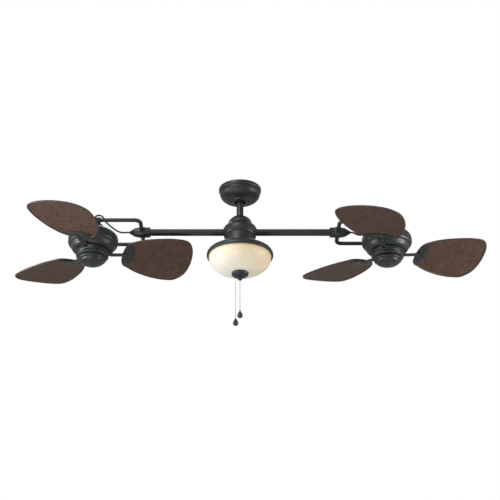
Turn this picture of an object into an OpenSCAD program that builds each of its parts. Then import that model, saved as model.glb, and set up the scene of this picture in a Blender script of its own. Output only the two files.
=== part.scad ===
// Twin head ceiling fan: two three-blade heads in tilting forks on one cross arm,
// with a bowl light, two pull chains and a short downrod.
// Millimetres, +Z up. The origin is the centre of the canopy's face on the ceiling.

/* [Overall] */
// Drop from the ceiling to the axis of the two arms
arm_drop = 188; // [180:1:400]
// Distance from the middle of the fan to the axis of each head
head_reach = 560; // [545:1:700]
// Outside diameter of the downrod and the arms
pipe_d = 26.7; // [24:0.1:30]
// Wall of the downrod and the arms
pipe_wall = 2.2; // [1.5:0.1:3]

/* [Canopy] */
// Diameter of the canopy at the ceiling
canopy_d = 164; // [150:1:200]
// Height of the canopy
canopy_h = 50; // [48:0.5:60]
// Wall of the pressed covers
cover_wall = 1.8; // [1.2:0.1:2.5]
// Diameter of the ring that hides the canopy screws
ring_d = 68; // [64:1:80]
// Height of that ring
ring_h = 9; // [6:0.5:12]

/* [Hanger] */
// Distance between the two screws into the ceiling box
box_screw_spacing = 89; // [70:0.5:96]
// Diameter of the clearance holes for those screws
box_screw_d = 5; // [4:0.1:6]
// Width of the hanger bracket
bracket_w = 40; // [34:1:46]
// Thickness of the bracket's steel
bracket_t = 2; // [1.5:0.1:3]
// Diameter of the hanger ball
ball_d = 56; // [52:0.5:60]

/* [Centre body] */
// Largest diameter of the domed cover
dome_d = 128; // [120:1:150]
// Height of the domed cover above the arm axis
dome_h = 66; // [64:1:90]
// Seam between the dome and the switch housing, below the arm axis
seam_drop = 19; // [17:0.5:24]
// Diameter of the switch housing
housing_d = 118; // [110:1:122]
// Height of the switch housing
housing_h = 53; // [44:1:70]

/* [Light] */
// Diameter of the light pan's rim
pan_d = 253; // [240:1:280]
// Height of the light pan
pan_h = 32; // [28:1:48]
// Diameter of the glass bowl
glass_d = 236; // [200:1:238]
// Depth of the glass bowl below the pan's ledge
glass_depth = 74; // [66:1:100]
// Wall of the glass
glass_wall = 3; // [2:0.1:5]
// Diameter of the cap under the bowl
cap_d = 64; // [50:1:80]

/* [Pull chains] */
// Length of the fan's chain below the cap's knob
fan_chain_l = 121; // [60:1:200]
// Length of the light's chain below the cap's knob
light_chain_l = 152; // [60:1:240]
// Distance of the light's chain from the middle
chain_offset = 16; // [14:0.5:18]
// Diameter of the chains' beads
bead_d = 2.4; // [2:0.1:3]
// Distance from bead to bead
bead_pitch = 4.8; // [4:0.2:8]
// Height of a pendant
pendant_h = 32; // [24:1:40]
// Diameter of a pendant
pendant_d = 21; // [16:1:26]

/* [Forks] */
// Distance from a head's axis to the fork's cross bar
fork_length = 185; // [172:1:200]
// Distance between the two legs of a fork, centre to centre
fork_span = 194; // [190:1:210]
// Diameter of the fork's bar
fork_bar_d = 13; // [10:0.5:15]
// Bend radius of the fork's corners, to the middle of the bar
fork_bend_r = 23; // [18:1:34]
// Diameter of the eyes at the fork's ends
eye_d = 28; // [24:0.5:30]
// Diameter of the pivot studs
pivot_d = 8; // [6:0.5:10]
// Largest diameter of the knuckle at the arm's end
knuckle_d = 44; // [42:1:54]

/* [Motor heads] */
// Diameter of the motor housing
motor_d = 190; // [180:1:200]
// Wall of the motor housing
motor_wall = 2.6; // [2:0.1:4]
// Diameter of the neck on top of the motor
neck_d = 70; // [60:1:80]
// Diameter of the rotor disc and the nose cap
nose_d = 123; // [118:1:130]
// Diameter of the motor shaft
shaft_d = 12; // [10:0.5:14]
// Outside diameter of the two ball bearings
bearing_d = 32; // [28:0.5:34]
// Height of a ball bearing
bearing_h = 10; // [8:0.5:10]
// Diameter of the supply cable
cable_d = 6.6; // [5:0.1:8]

/* [Blades] */
// Number of blades on each head
blade_count = 3; // [3:1:4]
// Distance from the head's axis to a blade's root
blade_root = 113; // [108:1:130]
// Length of a blade
blade_length = 270; // [230:1:280]
// Greatest width of a blade
blade_width = 254; // [200:1:260]
// Thickness of the woven panel
blade_t = 4; // [3:0.1:6]
// Thickness of the rim round the panel
rim_t = 6; // [4:0.5:9]
// Width of that rim
rim_w = 6; // [4:0.5:10]
// Pitch of the blades, with the leading edge up
blade_pitch = 11.5; // [8:0.5:14]
// Angle by which a blade rises towards its tip
blade_rise = 1; // [0:0.5:2]
// Radius of the blades' hollow
camber_r = 1400; // [1100:50:3000]
// Turn of the left head's first blade from the +X direction
left_turn = 13; // [-60:1:60]
// Turn of the right head's first blade from the +X direction
right_turn = 10.5; // [-60:0.5:60]
// Swivel of the left head about its arm, as set
left_swivel = -1.5; // [-15:0.5:15]
// Swivel of the right head about its arm, as set
right_swivel = 1; // [-15:0.5:15]
// Width of a blade iron's bar
iron_w = 13; // [10:0.5:16]
// Thickness of a blade iron
iron_t = 4; // [3:0.1:5]

/* [Hidden] */
$fn = 64;
run_gap = 0.05;       // radial clearance of a turning fit
seat_gap = 0.05;      // clearance of a plate under a blade's rim
face_gap = 0.3;       // clearance between faces that move past each other
pass_gap = 0.6;       // clearance of a hole that something only passes through
pipe_r = pipe_d / 2;
canopy_r = canopy_d / 2;

// Levels of the centre body, from the arm axis
seam_z = -seam_drop;
housing_bottom = seam_z - housing_h;
pan_plate_bottom = housing_bottom - cover_wall;
pan_bottom = housing_bottom - pan_h;
ledge_z = pan_bottom + 6;
glass_bottom = ledge_z - glass_depth;
washer_t = 1.5;
washer_r = 12;
cap_top = glass_bottom - washer_t;
cap_h = 14;
cap_bottom = cap_top - cap_h;
knob_h = 15;
knob_r = 9;
knob_bottom = cap_bottom - knob_h;
rod_r = 5;
rod_bore_r = 3.4;
chain_hole_r = bead_d / 2 + pass_gap;
switch_r = 6.5;
switch_h = 24;
nozzle_h = 8;
chain_top = housing_bottom + cover_wall + nozzle_h + 4;
socket_z = pan_plate_bottom - 26;
socket_r = 14;
socket_y = [17, 45];
bulb_r = 22;
bulb_tip = 102;

// Hanger
ball_r = ball_d / 2;
ball_seat_r = 0.8 * ball_r;
bracket_h = canopy_h - cover_wall - 3;
bracket_l = 112;
bracket_leg_x = ball_r + 5;
ball_z = -bracket_h + bracket_t + sqrt(ball_r * ball_r - ball_seat_r * ball_seat_r);
ball_cut = 14;
downrod_top = ball_z + ball_cut;
rod_pin_r = 3;
rod_pin_l = 48;
yoke_pin_z = 40;
yoke_r = 20;
yoke_top = dome_h - 10;
rod_bottom = 24;
frame_r = 34;
frame_plate_t = 3.5;
arm_start = 14;
ring_hole_r = ball_seat_r - 1;
canopy_screw_r = 2;
canopy_screw_x = ring_d / 2 - 8;

// Forks and knuckles, from a head's axis, with +X towards the middle of the fan
leg_y = fork_span / 2;
eye_t = fork_bar_d + 1;
bar_r = fork_bar_d / 2;
eye_in = leg_y - eye_t / 2;
eye_out = leg_y + eye_t / 2;
lug_t = 6;
lug_out = eye_in - face_gap;
lug_in = lug_out - lug_t;
lug_r = eye_d / 2;
ferrule_l = 22;
ferrule_r = bar_r + 5;
knob_d = 27;
knob_t = 11;
knuckle_r = knuckle_d / 2;
knuckle_in = 23;
knuckle_out = 47;
arm_seat = 9;
lock_ring_t = 8;
lock_ring_r = pipe_r + 6;
tip_r = cable_d / 2 + 1.7;

// Levels of a motor head, from the arm axis
motor_r = motor_d / 2;
shoulder_z = -28;
band_z = -47;
motor_bottom = -82;
motor_foot_r = 66;
neck_r = neck_d / 2;
neck_top = 30;
cap_z = 42;
gland_top = 52;
cable_end = gland_top + run_gap;
web_z = 0;
upper_bearing_z = -14;
lower_bearing_z = -78;
rotor_top = -84.5;
rotor_plate_t = 2.5;
iron_top = rotor_top - rotor_plate_t;
iron_bottom = iron_top - iron_t;
rotor_bottom = -92.5;
nose_r = nose_d / 2;
nose_bottom = -143;
shaft_r = shaft_d / 2;
shaft_top = upper_bearing_z + bearing_h + 1.5;
shaft_bottom = -112;
stator_r = 58;
stator_in = 38.5;
stator_wall = 6;
stator_top = -30;
stator_bottom = -58;
rotor_in_gap = 1;
rotor_inset = 2;

// Blades and irons
blade_z = -76;
plate_l = 46;
plate_w = 112;
plate_t = 3;
plate_start = -2;
iron_start = 38;
screw_r = 2;
screw_head_r = 3.8;
screw_head_h = 2;
screw_head_gap = 4 * seat_gap;  // room between a flat head's edge and the bent plate
blade_screws_at = [[22, 28], [22, 0], [22, -28]];
iron_screws_at = [44, 54];

// Outline of the leaf in hundredths of its length, from the root, and of its width,
// from the middle line towards the trailing edge
LEAF = [[1, -3.5], [5, -20], [15, -30], [31, -38], [51, -43.5], [70, -46], [87.5, -43],
        [96.5, -27.5], [100, -5], [99.5, 16.5], [94.5, 36.5], [83, 50], [70.5, 52.5],
        [57, 51.5], [42, 48], [23.5, 41], [0.5, 17]];

// Routes of the two cables in the upright plane through the arm: distance from the
// head's axis towards the middle of the fan, and height above the arm axis. The first
// part stretches with the room between the motor's neck and the knuckle's tip.
neck_side = neck_r + 3;
cable_span = fork_length - knuckle_out - neck_side;
function on_span(share, z) = [neck_side + share * cable_span, z];
LEFT_CABLE = [on_span(1, 0), on_span(0.84, 0), on_span(0.68, 0), on_span(0.53, 6),
              on_span(0.37, 17), on_span(0.22, 30), on_span(0.09, 43),
              [38, 57], [29, 70], [15, 75.5], [3, 69.5], [0, 61], [0, 57], [0, cable_end]];
RIGHT_CABLE = [on_span(1, 0), on_span(0.94, 0), on_span(0.86, -2.5), on_span(0.73, -9),
               on_span(0.6, -11), on_span(0.47, -6), on_span(0.33, 3), on_span(0.19, 18),
               on_span(0.09, 34), [38, 50], [29, 66], [15, 73], [3, 68], [0, 61], [0, 57],
               [0, cable_end]];

BRONZE = "#3a3c3c";
BRONZE_LIGHT = "#4a4b4a";
STEEL = "#8d9092";
BRASS = "#9a8a63";
BLACK = "#1f2020";
CREAM = [0.95, 0.9, 0.8, 0.8];
WHITE = "#eeeae0";
WICKER = "#57443b";

// ---- curves -------------------------------------------------------------------------

// Points of an arc with radii rx and ry about (cx, cy), from angle a0 to a1
function arc(cx, cy, rx, ry, a0, a1, n = 6) =
    [for (i = [0:n]) let (a = a0 + (a1 - a0) * i / n) [cx + rx * cos(a), cy + ry * sin(a)]];

// One point of a smooth curve through four neighbours, a share s of the way from b to c
function smooth_point(a, b, c, d, s) =
    0.5 * (2 * b + (c - a) * s + (2 * a - 5 * b + 4 * c - d) * s * s
           + (3 * b - a - 3 * c + d) * s * s * s);

// A smooth closed curve through the points
function smooth_loop(points, steps) =
    let (n = len(points))
    [for (i = [0:n - 1]) for (k = [0:steps - 1])
        smooth_point(points[(i + n - 1) % n], points[i], points[(i + 1) % n],
                     points[(i + 2) % n], k / steps)];

// A smooth open curve through the points
function smooth_line(points, steps) =
    let (n = len(points))
    concat([for (i = [0:n - 2]) for (k = [0:steps - 1])
        smooth_point(points[max(i - 1, 0)], points[i], points[i + 1],
                     points[min(i + 2, n - 1)], k / steps)], [points[n - 1]]);

// How far a blade's face falls away from its middle line at the distance v
function camber_fall(v) = camber_r - sqrt(camber_r * camber_r - v * v);

// ---- placing ------------------------------------------------------------------------

function swivel(side) = side < 0 ? left_swivel : right_swivel;

module at_arm() {
    translate([0, 0, -arm_drop]) children();
}

// Puts a head at its place. Its +X points to the middle of the fan.
module at_head(side) {
    translate([side * head_reach, 0, -arm_drop]) rotate([swivel(side), 0, 0])
        rotate([0, 0, side > 0 ? 180 : 0]) children();
}

module ring(r_out, r_in, z0, z1) {
    translate([0, 0, z0]) difference() {
        cylinder(r = r_out, h = z1 - z0);
        translate([0, 0, -1]) cylinder(r = r_in, h = z1 - z0 + 2);
    }
}

module along_x(r, x0, x1) {
    translate([x0, 0, 0]) rotate([0, 90, 0]) cylinder(r = r, h = x1 - x0);
}

module along_y(r, y0, y1) {
    translate([0, y0, 0]) rotate([-90, 0, 0]) cylinder(r = r, h = y1 - y0);
}

module both_sides() {
    children();
    mirror([0, 1, 0]) children();
}

// ---- hanger and canopy --------------------------------------------------------------

module ceiling_bracket() {
    color(STEEL) difference() {
        union() {
            translate([-bracket_l / 2, -bracket_w / 2, -bracket_t])
                cube([bracket_l, bracket_w, bracket_t]);
            for (x = [-bracket_leg_x - bracket_t, bracket_leg_x])
                translate([x, -bracket_w / 2, -bracket_h]) cube([bracket_t, bracket_w, bracket_h]);
            intersection() {
                translate([0, 0, -bracket_h]) cylinder(r = bracket_leg_x + bracket_t, h = bracket_t);
                translate([-bracket_leg_x - bracket_t, -bracket_w / 2, -bracket_h])
                    cube([2 * (bracket_leg_x + bracket_t), bracket_w, bracket_t]);
            }
        }
        for (x = [-1, 1])
            translate([x * box_screw_spacing / 2, 0, -bracket_t - 1])
                cylinder(d = box_screw_d, h = bracket_t + 2);
        translate([0, 0, -bracket_t - 1]) cylinder(r = 17, h = bracket_t + 2);
        translate([0, 0, -bracket_h - 1]) cylinder(r = ball_seat_r, h = bracket_t + 2);
        for (x = [-1, 1])
            translate([x * canopy_screw_x, 0, -bracket_h - 1])
                cylinder(r = canopy_screw_r, h = bracket_t + 2);
    }
}

module hanger_ball() {
    color(BLACK) difference() {
        intersection() {
            translate([0, 0, ball_z]) sphere(r = ball_r);
            translate([0, 0, -canopy_h + cover_wall + 0.5])
                cylinder(r = ball_r, h = downrod_top + canopy_h - cover_wall - 0.5);
        }
        // The steel seat's edge bears on the ball, so the ball is eased there
        ring(ball_r + 1, ball_seat_r - 0.3, -bracket_h, -bracket_h + bracket_t + 0.3);
        translate([0, 0, -canopy_h]) cylinder(r = pipe_r, h = canopy_h);
        translate([0, 0, ball_z]) along_y(rod_pin_r, -ball_r, ball_r);
    }
}

module downrod() {
    color(BRONZE) difference() {
        ring(pipe_r, pipe_r - pipe_wall, -arm_drop + rod_bottom, downrod_top);
        translate([0, 0, ball_z]) along_y(rod_pin_r, -ball_r, ball_r);
        at_arm() translate([0, 0, yoke_pin_z]) along_y(rod_pin_r, -ball_r, ball_r);
    }
}

// One pin through the ball and one through the yoke
module rod_pins() {
    color(STEEL) {
        translate([0, 0, ball_z]) along_y(rod_pin_r, -rod_pin_l / 2, rod_pin_l / 2);
        at_arm() translate([0, 0, yoke_pin_z]) along_y(rod_pin_r, -rod_pin_l / 2, rod_pin_l / 2);
    }
}

// Outline of the canopy drawn in by w: a band at the ceiling, a groove and a bowl
function canopy_outline(w) = concat(
    [[0, 1], [canopy_r - w, 1]],
    arc(canopy_r - 7, -canopy_h * 0.18, 7 - w, 7 - w / 2, 0, -60, 4),
    [[canopy_r - 6 - w, -canopy_h * 0.34 - w / 3]],
    arc(canopy_r - 42, -canopy_h * 0.36, 36 - w, canopy_h * 0.6 - w, -2, -66, 8),
    [[canopy_r - 42, -canopy_h * 0.98 + w], [ring_d / 2 - 6, -canopy_h + w],
     [0, -canopy_h + w]]);

module canopy() {
    color(BRONZE) difference() {
        rotate_extrude($fn = 96) intersection() {
            polygon(canopy_outline(0));
            translate([0, -canopy_h]) square([canopy_r, canopy_h]);
        }
        rotate_extrude($fn = 96) polygon(canopy_outline(cover_wall));
        translate([0, 0, -canopy_h - 1]) cylinder(r = ball_seat_r - 2, h = 4);
        for (x = [-1, 1])
            translate([x * canopy_screw_x, 0, -canopy_h - 1]) cylinder(r = canopy_screw_r + 0.3, h = 4);
    }
}

module canopy_ring() {
    r = ring_d / 2;
    color(BRONZE) translate([0, 0, -canopy_h]) rotate_extrude($fn = 96) polygon(concat(
        [[ring_hole_r, -ring_h], [ring_hole_r, -ring_h + 2], [r - 8, -ring_h + 2.5],
         [r - 2.5, 0]],
        arc(r - 4, -2, 4, 2, 60, 0, 3), arc(r - 9, -2, 8, ring_h - 3, -15, -80, 5)));
}

module canopy_screws() {
    color(BRONZE) for (x = [-1, 1]) translate([x * canopy_screw_x, 0, -canopy_h]) {
        translate([0, 0, -1.6]) cylinder(r = 3.4, h = 1.6);
        cylinder(r = canopy_screw_r, h = canopy_h - bracket_h + bracket_t + 1);
    }
}

// ---- centre body --------------------------------------------------------------------

module centre_frame() {
    color("#5a5c5c") at_arm() difference() {
        union() {
            translate([0, 0, seam_z]) cylinder(r = dome_d / 2 - 3 - cover_wall - face_gap, h = frame_plate_t);
            translate([0, 0, seam_z]) cylinder(r = frame_r, h = seam_drop + pipe_r + 5);
            translate([0, 0, seam_z]) cylinder(r = yoke_r, h = yoke_top - seam_z);
        }
        translate([0, 0, rod_bottom]) cylinder(r = pipe_r, h = yoke_top);
        along_x(pipe_r, -frame_r - 1, -arm_start);
        along_x(pipe_r, arm_start, frame_r + 1);
        along_x(8, -frame_r, frame_r);
        translate([0, 0, seam_z - 1]) cylinder(r = 8, h = seam_drop + rod_bottom + 2);
        translate([0, 0, yoke_pin_z]) along_y(rod_pin_r, -ball_r, ball_r);
        for (x = [-1, 1]) translate([x * 24, 0, 0]) cylinder(r = 2.5, h = 40);
    }
}

// Outline of the dome drawn in by w: a small dome over a rounded shoulder
function dome_outline(w) = let (r = dome_d / 2, top = dome_h - w) concat(
    [[0, top], [pipe_r + 2, top]],
    arc(11, dome_h - 36, 36 - w, 35 - w, 78, 4, 7),
    [[r - 15.5 - w, 29.5], [r - 15.5 - w, 27.8]],
    arc(r - 34, 4, 34 - w, 27 - w, 58, 0, 6),
    [[r - w, -2], [r - 3 - w, seam_z], [0, seam_z]]);

module dome_cover() {
    color(BRONZE) at_arm() difference() {
        rotate_extrude($fn = 96) polygon(dome_outline(0));
        difference() {
            rotate_extrude($fn = 96) polygon(dome_outline(cover_wall));
            translate([0, 0, dome_h]) cylinder(r = dome_d, h = 10);
        }
        translate([0, 0, seam_z - 1]) cylinder(r = dome_d / 2 - 3 - cover_wall, h = 2);
        translate([0, 0, dome_h - 10]) cylinder(r = pipe_r + face_gap, h = 20);
        along_x(pipe_r + face_gap, -dome_d, dome_d);
    }
}

module switch_housing() {
    r = housing_d / 2;
    color(BRONZE) at_arm() difference() {
        union() {
            ring(r, r - cover_wall, housing_bottom, seam_z);
            translate([0, 0, housing_bottom]) cylinder(r = r - 1, h = cover_wall);
            ring(r - 1, r - 8, seam_z - 2, seam_z);
        }
        for (x = [0, -chain_offset])
            translate([x, 0, housing_bottom - 1]) cylinder(r = chain_hole_r, h = cover_wall + 2);
        for (y = [-1, 1])
            translate([0, y * 20, housing_bottom - 1]) cylinder(r = 4, h = cover_wall + 2);
    }
}

module arm(side) {
    end = head_reach - fork_length - arm_seat;
    color(BRONZE) at_arm() rotate([0, 0, side > 0 ? 0 : 180]) difference() {
        along_x(pipe_r, arm_start, end);
        along_x(pipe_r - pipe_wall, arm_start - 1, end + 1);
    }
}

// Grub screws that hold the arms in the centre frame
module arm_screws() {
    color(STEEL) at_arm() for (x = [-1, 1])
        translate([x * 24, 0, pipe_r]) cylinder(r = 2.5, h = 7);
}

// ---- light --------------------------------------------------------------------------

// Upper face of the light pan, drawn down by w: a shallow flare that rolls into the rim
function pan_outline(w) = let (r = pan_d / 2, z = housing_bottom) concat(
    [[housing_d / 2 - 6, z - w]],
    [[housing_d / 2 + 1, z - w], [housing_d / 2 + 6, z - w - 1.4]],
    arc(r - 46.5, z - 25, 46.5 - w, 22 - w, 98, 4, 9),
    [[r - w, z - 26]]);

module light_pan() {
    r = pan_d / 2;
    rim_in = glass_d / 2 + 0.5;
    top = pan_outline(0);
    under = pan_outline(cover_wall);
    color(BRONZE) at_arm() difference() {
        rotate_extrude($fn = 120) polygon(concat(
            [[0, housing_bottom]], top,
            [[r, pan_bottom + 3], [r - 2, pan_bottom], [rim_in, pan_bottom],
             [rim_in, ledge_z], [rim_in - 8, ledge_z], [rim_in - 8, ledge_z + 2],
             [r - cover_wall - 1, ledge_z + 2]],
            [for (i = [len(under) - 1:-1:0]) under[i]],
            [[0, pan_plate_bottom]]));
        for (x = [0, -chain_offset])
            translate([x, 0, housing_bottom - 5]) cylinder(r = chain_hole_r, h = 10);
        for (y = [-1, 1])
            translate([0, y * 20, housing_bottom - 5]) cylinder(r = 4, h = 10);
    }
}

module lamp_holders() {
    color(WHITE) at_arm() both_sides() {
        translate([0, 0, socket_z]) difference() {
            along_y(socket_r, socket_y[0], socket_y[1]);
            along_y(socket_r - 1.5, socket_y[1] - 20, socket_y[1] + 1);
        }
        translate([-7, socket_y[0] + 2, socket_z + socket_r - 3])
            cube([14, 4, pan_plate_bottom - socket_z - socket_r + 3]);
    }
}

module bulbs() {
    centre = bulb_tip - bulb_r;
    cap_r = socket_r - 1.5;
    color(WHITE) at_arm() both_sides() translate([0, 0, socket_z]) rotate([-90, 0, 0])
        rotate_extrude() polygon(concat(
            [[0, socket_y[1] - 18], [cap_r - 2, socket_y[1] - 18], [cap_r, socket_y[1] - 16],
             [cap_r, socket_y[1] + 4]],
            arc(0, centre, bulb_r, bulb_r, -50, 90, 9)));
}

// Squared-off bowl, drawn in by w, as a share t of its depth
function bowl_point(w, t) = let (e = 2.4, z0 = ledge_z - 4)
    [(glass_d / 2 - w) * pow(1 - pow(t, e), 1 / e), z0 - (glass_depth - 4 - w) * t];
function bowl_outline(w) = concat(
    [[0, ledge_z], [glass_d / 2 - w, ledge_z]],
    [for (i = [0:14]) bowl_point(w, sin(90 * i / 14))]);

module glass_bowl() {
    color(CREAM) at_arm() difference() {
        rotate_extrude($fn = 120) polygon(bowl_outline(0));
        rotate_extrude($fn = 120) polygon(bowl_outline(glass_wall));
        translate([0, 0, ledge_z - 1]) cylinder(r = glass_d / 2 - glass_wall, h = 2);
        translate([0, 0, glass_bottom - 1]) cylinder(r = rod_r + pass_gap, h = glass_wall + 3);
        translate([-chain_offset, 0, glass_bottom - 1]) cylinder(r = chain_hole_r, h = glass_wall + 3);
    }
}

module bowl_washer() {
    color(BLACK) at_arm() ring(washer_r, rod_r, cap_top, glass_bottom);
}

// Hollow threaded rod: it hangs from the pan, holds the bowl and passes the fan's chain
module centre_rod() {
    color(BRASS) at_arm() difference() {
        union() {
            translate([0, 0, cap_bottom - 5]) cylinder(r = rod_r, h = pan_plate_bottom - cap_bottom + 5);
            translate([0, 0, pan_plate_bottom - 3]) cylinder(r = 11, h = 3);
        }
        translate([0, 0, cap_bottom - 6])
            cylinder(r = rod_bore_r, h = pan_plate_bottom - cap_bottom + 7);
    }
}

module bowl_cap() {
    r = cap_d / 2;
    color(BRONZE) at_arm() difference() {
        rotate_extrude($fn = 96) translate([0, cap_top]) polygon(concat(
            [[0, 0], [r - 4, 0], [r - 3, 0.9], [r - 0.6, 0.9], [r, 0.2]],
            arc(r - 12, -3, 12, 8, 10, -60, 5),
            arc(r - 19, -cap_h + 3.2, 12, 3.2, -10, -90, 4),
            [[0, -cap_h]]));
        translate([0, 0, cap_bottom - 1]) cylinder(r = rod_r, h = cap_h + 3);
        translate([-chain_offset, 0, cap_bottom - 1]) cylinder(r = chain_hole_r, h = cap_h + 3);
    }
}

module cap_knob() {
    color(BRONZE) at_arm() difference() {
        rotate_extrude() translate([0, cap_bottom]) polygon(concat(
            [[0, 0], [knob_r - 2.5, 0], [knob_r - 3.5, -1.5]],
            arc(0, -knob_h + 7, knob_r, 7, 48, -72, 8),
            [[0, -knob_h]]));
        translate([0, 0, cap_bottom - 5]) cylinder(r = rod_r, h = 6);
        translate([0, 0, knob_bottom - 1]) cylinder(r = chain_hole_r, h = knob_h + 1);
    }
}

// ---- pull switches and chains -------------------------------------------------------

module pull_switches() {
    z = housing_bottom + cover_wall;
    color(BLACK) at_arm() for (x = [0, -chain_offset]) translate([x, 0, z]) difference() {
        union() {
            cylinder(r = 4, h = nozzle_h);
            translate([0, 0, nozzle_h]) cylinder(r = switch_r, h = switch_h);
        }
        translate([0, 0, -1]) cylinder(r = chain_hole_r, h = nozzle_h + 14);
    }
}

// A bead chain: beads on a fine wire, from z1 down to z0
module chain(x, z0, z1) {
    r = bead_d / 2;
    count = floor((z1 - z0) / bead_pitch);
    wire = 0.6;
    color(BRASS) at_arm() translate([x, 0, z0]) rotate_extrude($fn = 16) polygon(concat(
        [[0, 0]],
        [for (i = [0:count - 1]) let (z = (i + 0.5) * bead_pitch)
            each [[wire, z - r * 0.87], [r, z - r * 0.4], [r, z + r * 0.4], [wire, z + r * 0.87]]],
        [[wire, z1 - z0], [0, z1 - z0]]));
}

module pendant(x, chain_l) {
    r = pendant_d / 2;
    h = pendant_h;
    color(BRONZE) at_arm() translate([x, 0, knob_bottom - chain_l - h]) rotate_extrude($fn = 32)
        polygon(concat(
            [[0, 0], [2, 0]],
            arc(0, r, r, r - 0.5, -75, 20, 8),
            [[r * 0.72, h * 0.6], [r * 0.4, h * 0.78], [2.2, h * 0.9], [2, h - 1], [1.4, h], [0, h]]));
}

// ---- knuckles and forks -------------------------------------------------------------

module knuckle(side) {
    r = knuckle_r;
    color(BRONZE) at_head(side) difference() {
        translate([fork_length, 0, 0]) rotate([0, -90, 0]) rotate_extrude() polygon(concat(
            [[0, -knuckle_in], [r - 4, -knuckle_in], [r - 3, -knuckle_in + 4],
             [r - 4, -knuckle_in + 7]],
            arc(r - 12, 0, 12, 14, -60, 60, 8),
            [[r * 0.62, 24], [tip_r + 3, 34], [tip_r + 1, 42], [tip_r, knuckle_out],
             [0, knuckle_out]]));
        along_x(pipe_r + run_gap, fork_length + arm_seat - 0.4, fork_length + knuckle_in + 1);
        translate([fork_length, 0, 0]) along_y(bar_r, -knuckle_d, knuckle_d);
    }
}

// Knurled ring on the arm that locks the knuckle's turn
module lock_ring(side) {
    x0 = fork_length + knuckle_in + face_gap;
    flutes = 20;
    color(BRONZE) at_head(side) difference() {
        along_x(lock_ring_r, x0, x0 + lock_ring_t);
        along_x(pipe_r, x0 - 1, x0 + lock_ring_t + 1);
        for (i = [0:flutes - 1])
            rotate([i * 360 / flutes, 0, 0]) translate([0, 0, lock_ring_r + 0.4])
                along_x(1.6, x0 - 1, x0 + lock_ring_t + 1);
    }
}

module fork_leg() {
    translate([fork_length, 0, 0]) along_y(bar_r, 0, leg_y - fork_bend_r);
    translate([fork_length - fork_bend_r, leg_y - fork_bend_r, 0])
        rotate_extrude(angle = 90) translate([fork_bend_r, 0]) circle(r = bar_r);
    translate([0, leg_y, 0]) along_x(bar_r, lug_r - 5, fork_length - fork_bend_r);
    // Ribbed ferrule where the bar enters the eye
    translate([lug_r + ferrule_l / 2 + 2, leg_y, 0]) rotate([0, 90, 0]) for (i = [-1:1])
        translate([0, 0, i * 7 - 3]) rotate_extrude()
            polygon([[0, 0], [ferrule_r - 2, 0], [ferrule_r, 2], [ferrule_r, 4], [ferrule_r - 2, 6], [0, 6]]);
    along_y(lug_r, eye_in, eye_out);
}

module fork(side) {
    color(BRONZE) at_head(side) difference() {
        both_sides() fork_leg();
        both_sides() along_y(pivot_d / 2 + run_gap, eye_in - 1, eye_out + 1);
    }
}

module pivot_studs(side) {
    color(STEEL) at_head(side) both_sides()
        along_y(pivot_d / 2, lug_in, eye_out + face_gap + knob_t - 3);
}

// Knurled nuts that clamp the tilt
module tilt_knobs(side) {
    y0 = eye_out + face_gap;
    flutes = 16;
    color(BRONZE) at_head(side) both_sides() difference() {
        translate([0, y0, 0]) rotate([-90, 0, 0]) rotate_extrude() polygon([
            [0, 0], [knob_d / 2 - 2, 0], [knob_d / 2, 2], [knob_d / 2, knob_t - 3],
            [knob_d / 2 - 3, knob_t], [0, knob_t]]);
        along_y(pivot_d / 2, y0 - 1, y0 + knob_t - 3);
        for (i = [0:flutes - 1])
            rotate([0, i * 360 / flutes, 0]) translate([knob_d / 2 + 0.6, 0, 0])
                along_y(1.8, y0 - 1, y0 + knob_t + 1);
    }
}

// ---- supply cables ------------------------------------------------------------------

// A round tube with eight sides, swept along a route in the XZ plane
module cable_tube(route) {
    line = smooth_line(route, 2);
    n = len(line);
    sides = 8;
    rings = [for (i = [0:n - 1]) let (d = line[min(i + 1, n - 1)] - line[max(i - 1, 0)],
                                      t = d / norm(d))
        for (k = [0:sides - 1]) let (a = 360 * k / sides, s = cable_d / 2 * cos(a))
            [line[i][0] - t[1] * s, cable_d / 2 * sin(a), line[i][1] + t[0] * s]];
    walls = [for (i = [0:n - 2]) for (k = [0:sides - 1])
        let (a = i * sides + k, b = i * sides + (k + 1) % sides)
            each [[a, a + sides, b], [b, a + sides, b + sides]]];
    polyhedron(points = rings, convexity = 6, faces = concat(walls,
        [[for (k = [0:sides - 1]) k]], [[for (k = [sides - 1:-1:0]) (n - 1) * sides + k]]));
}

module cable(side) {
    color(BLACK) at_head(side) cable_tube(side < 0 ? LEFT_CABLE : RIGHT_CABLE);
}

// ---- motor heads --------------------------------------------------------------------

// Outline of the upper shell drawn in by w: cap, neck, domed cover, shoulder and band
function upper_outline(w) = concat(
    [[0, cap_z - w]],
    arc(0, neck_top, neck_r - 8 - w, cap_z - neck_top - w, 70, 10, 4),
    [[neck_r - 2 - w, neck_top - w], [neck_r - w, neck_top - 3 - w], [neck_r - w, 12 - w / 2]],
    [[neck_r + 6 - w / 2, 8 - w]],
    arc(motor_r - 52, shoulder_z - 4, 52 - w, 32 - w, 72, 0, 9),
    [[motor_r - w, band_z], [0, band_z]]);

module lug() {
    intersection() {
        translate([0, lug_out, 0]) rotate([90, 0, 0]) linear_extrude(height = lug_t) union() {
            circle(r = lug_r);
            polygon([[-lug_r, 0], [lug_r, 0], [lug_r, -16], [36, -30], [36, band_z + 4],
                     [-36, band_z + 4], [-36, -30], [-lug_r, -16]]);
        }
        translate([0, 0, band_z]) cylinder(r = motor_r, h = 80);
    }
}

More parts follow.
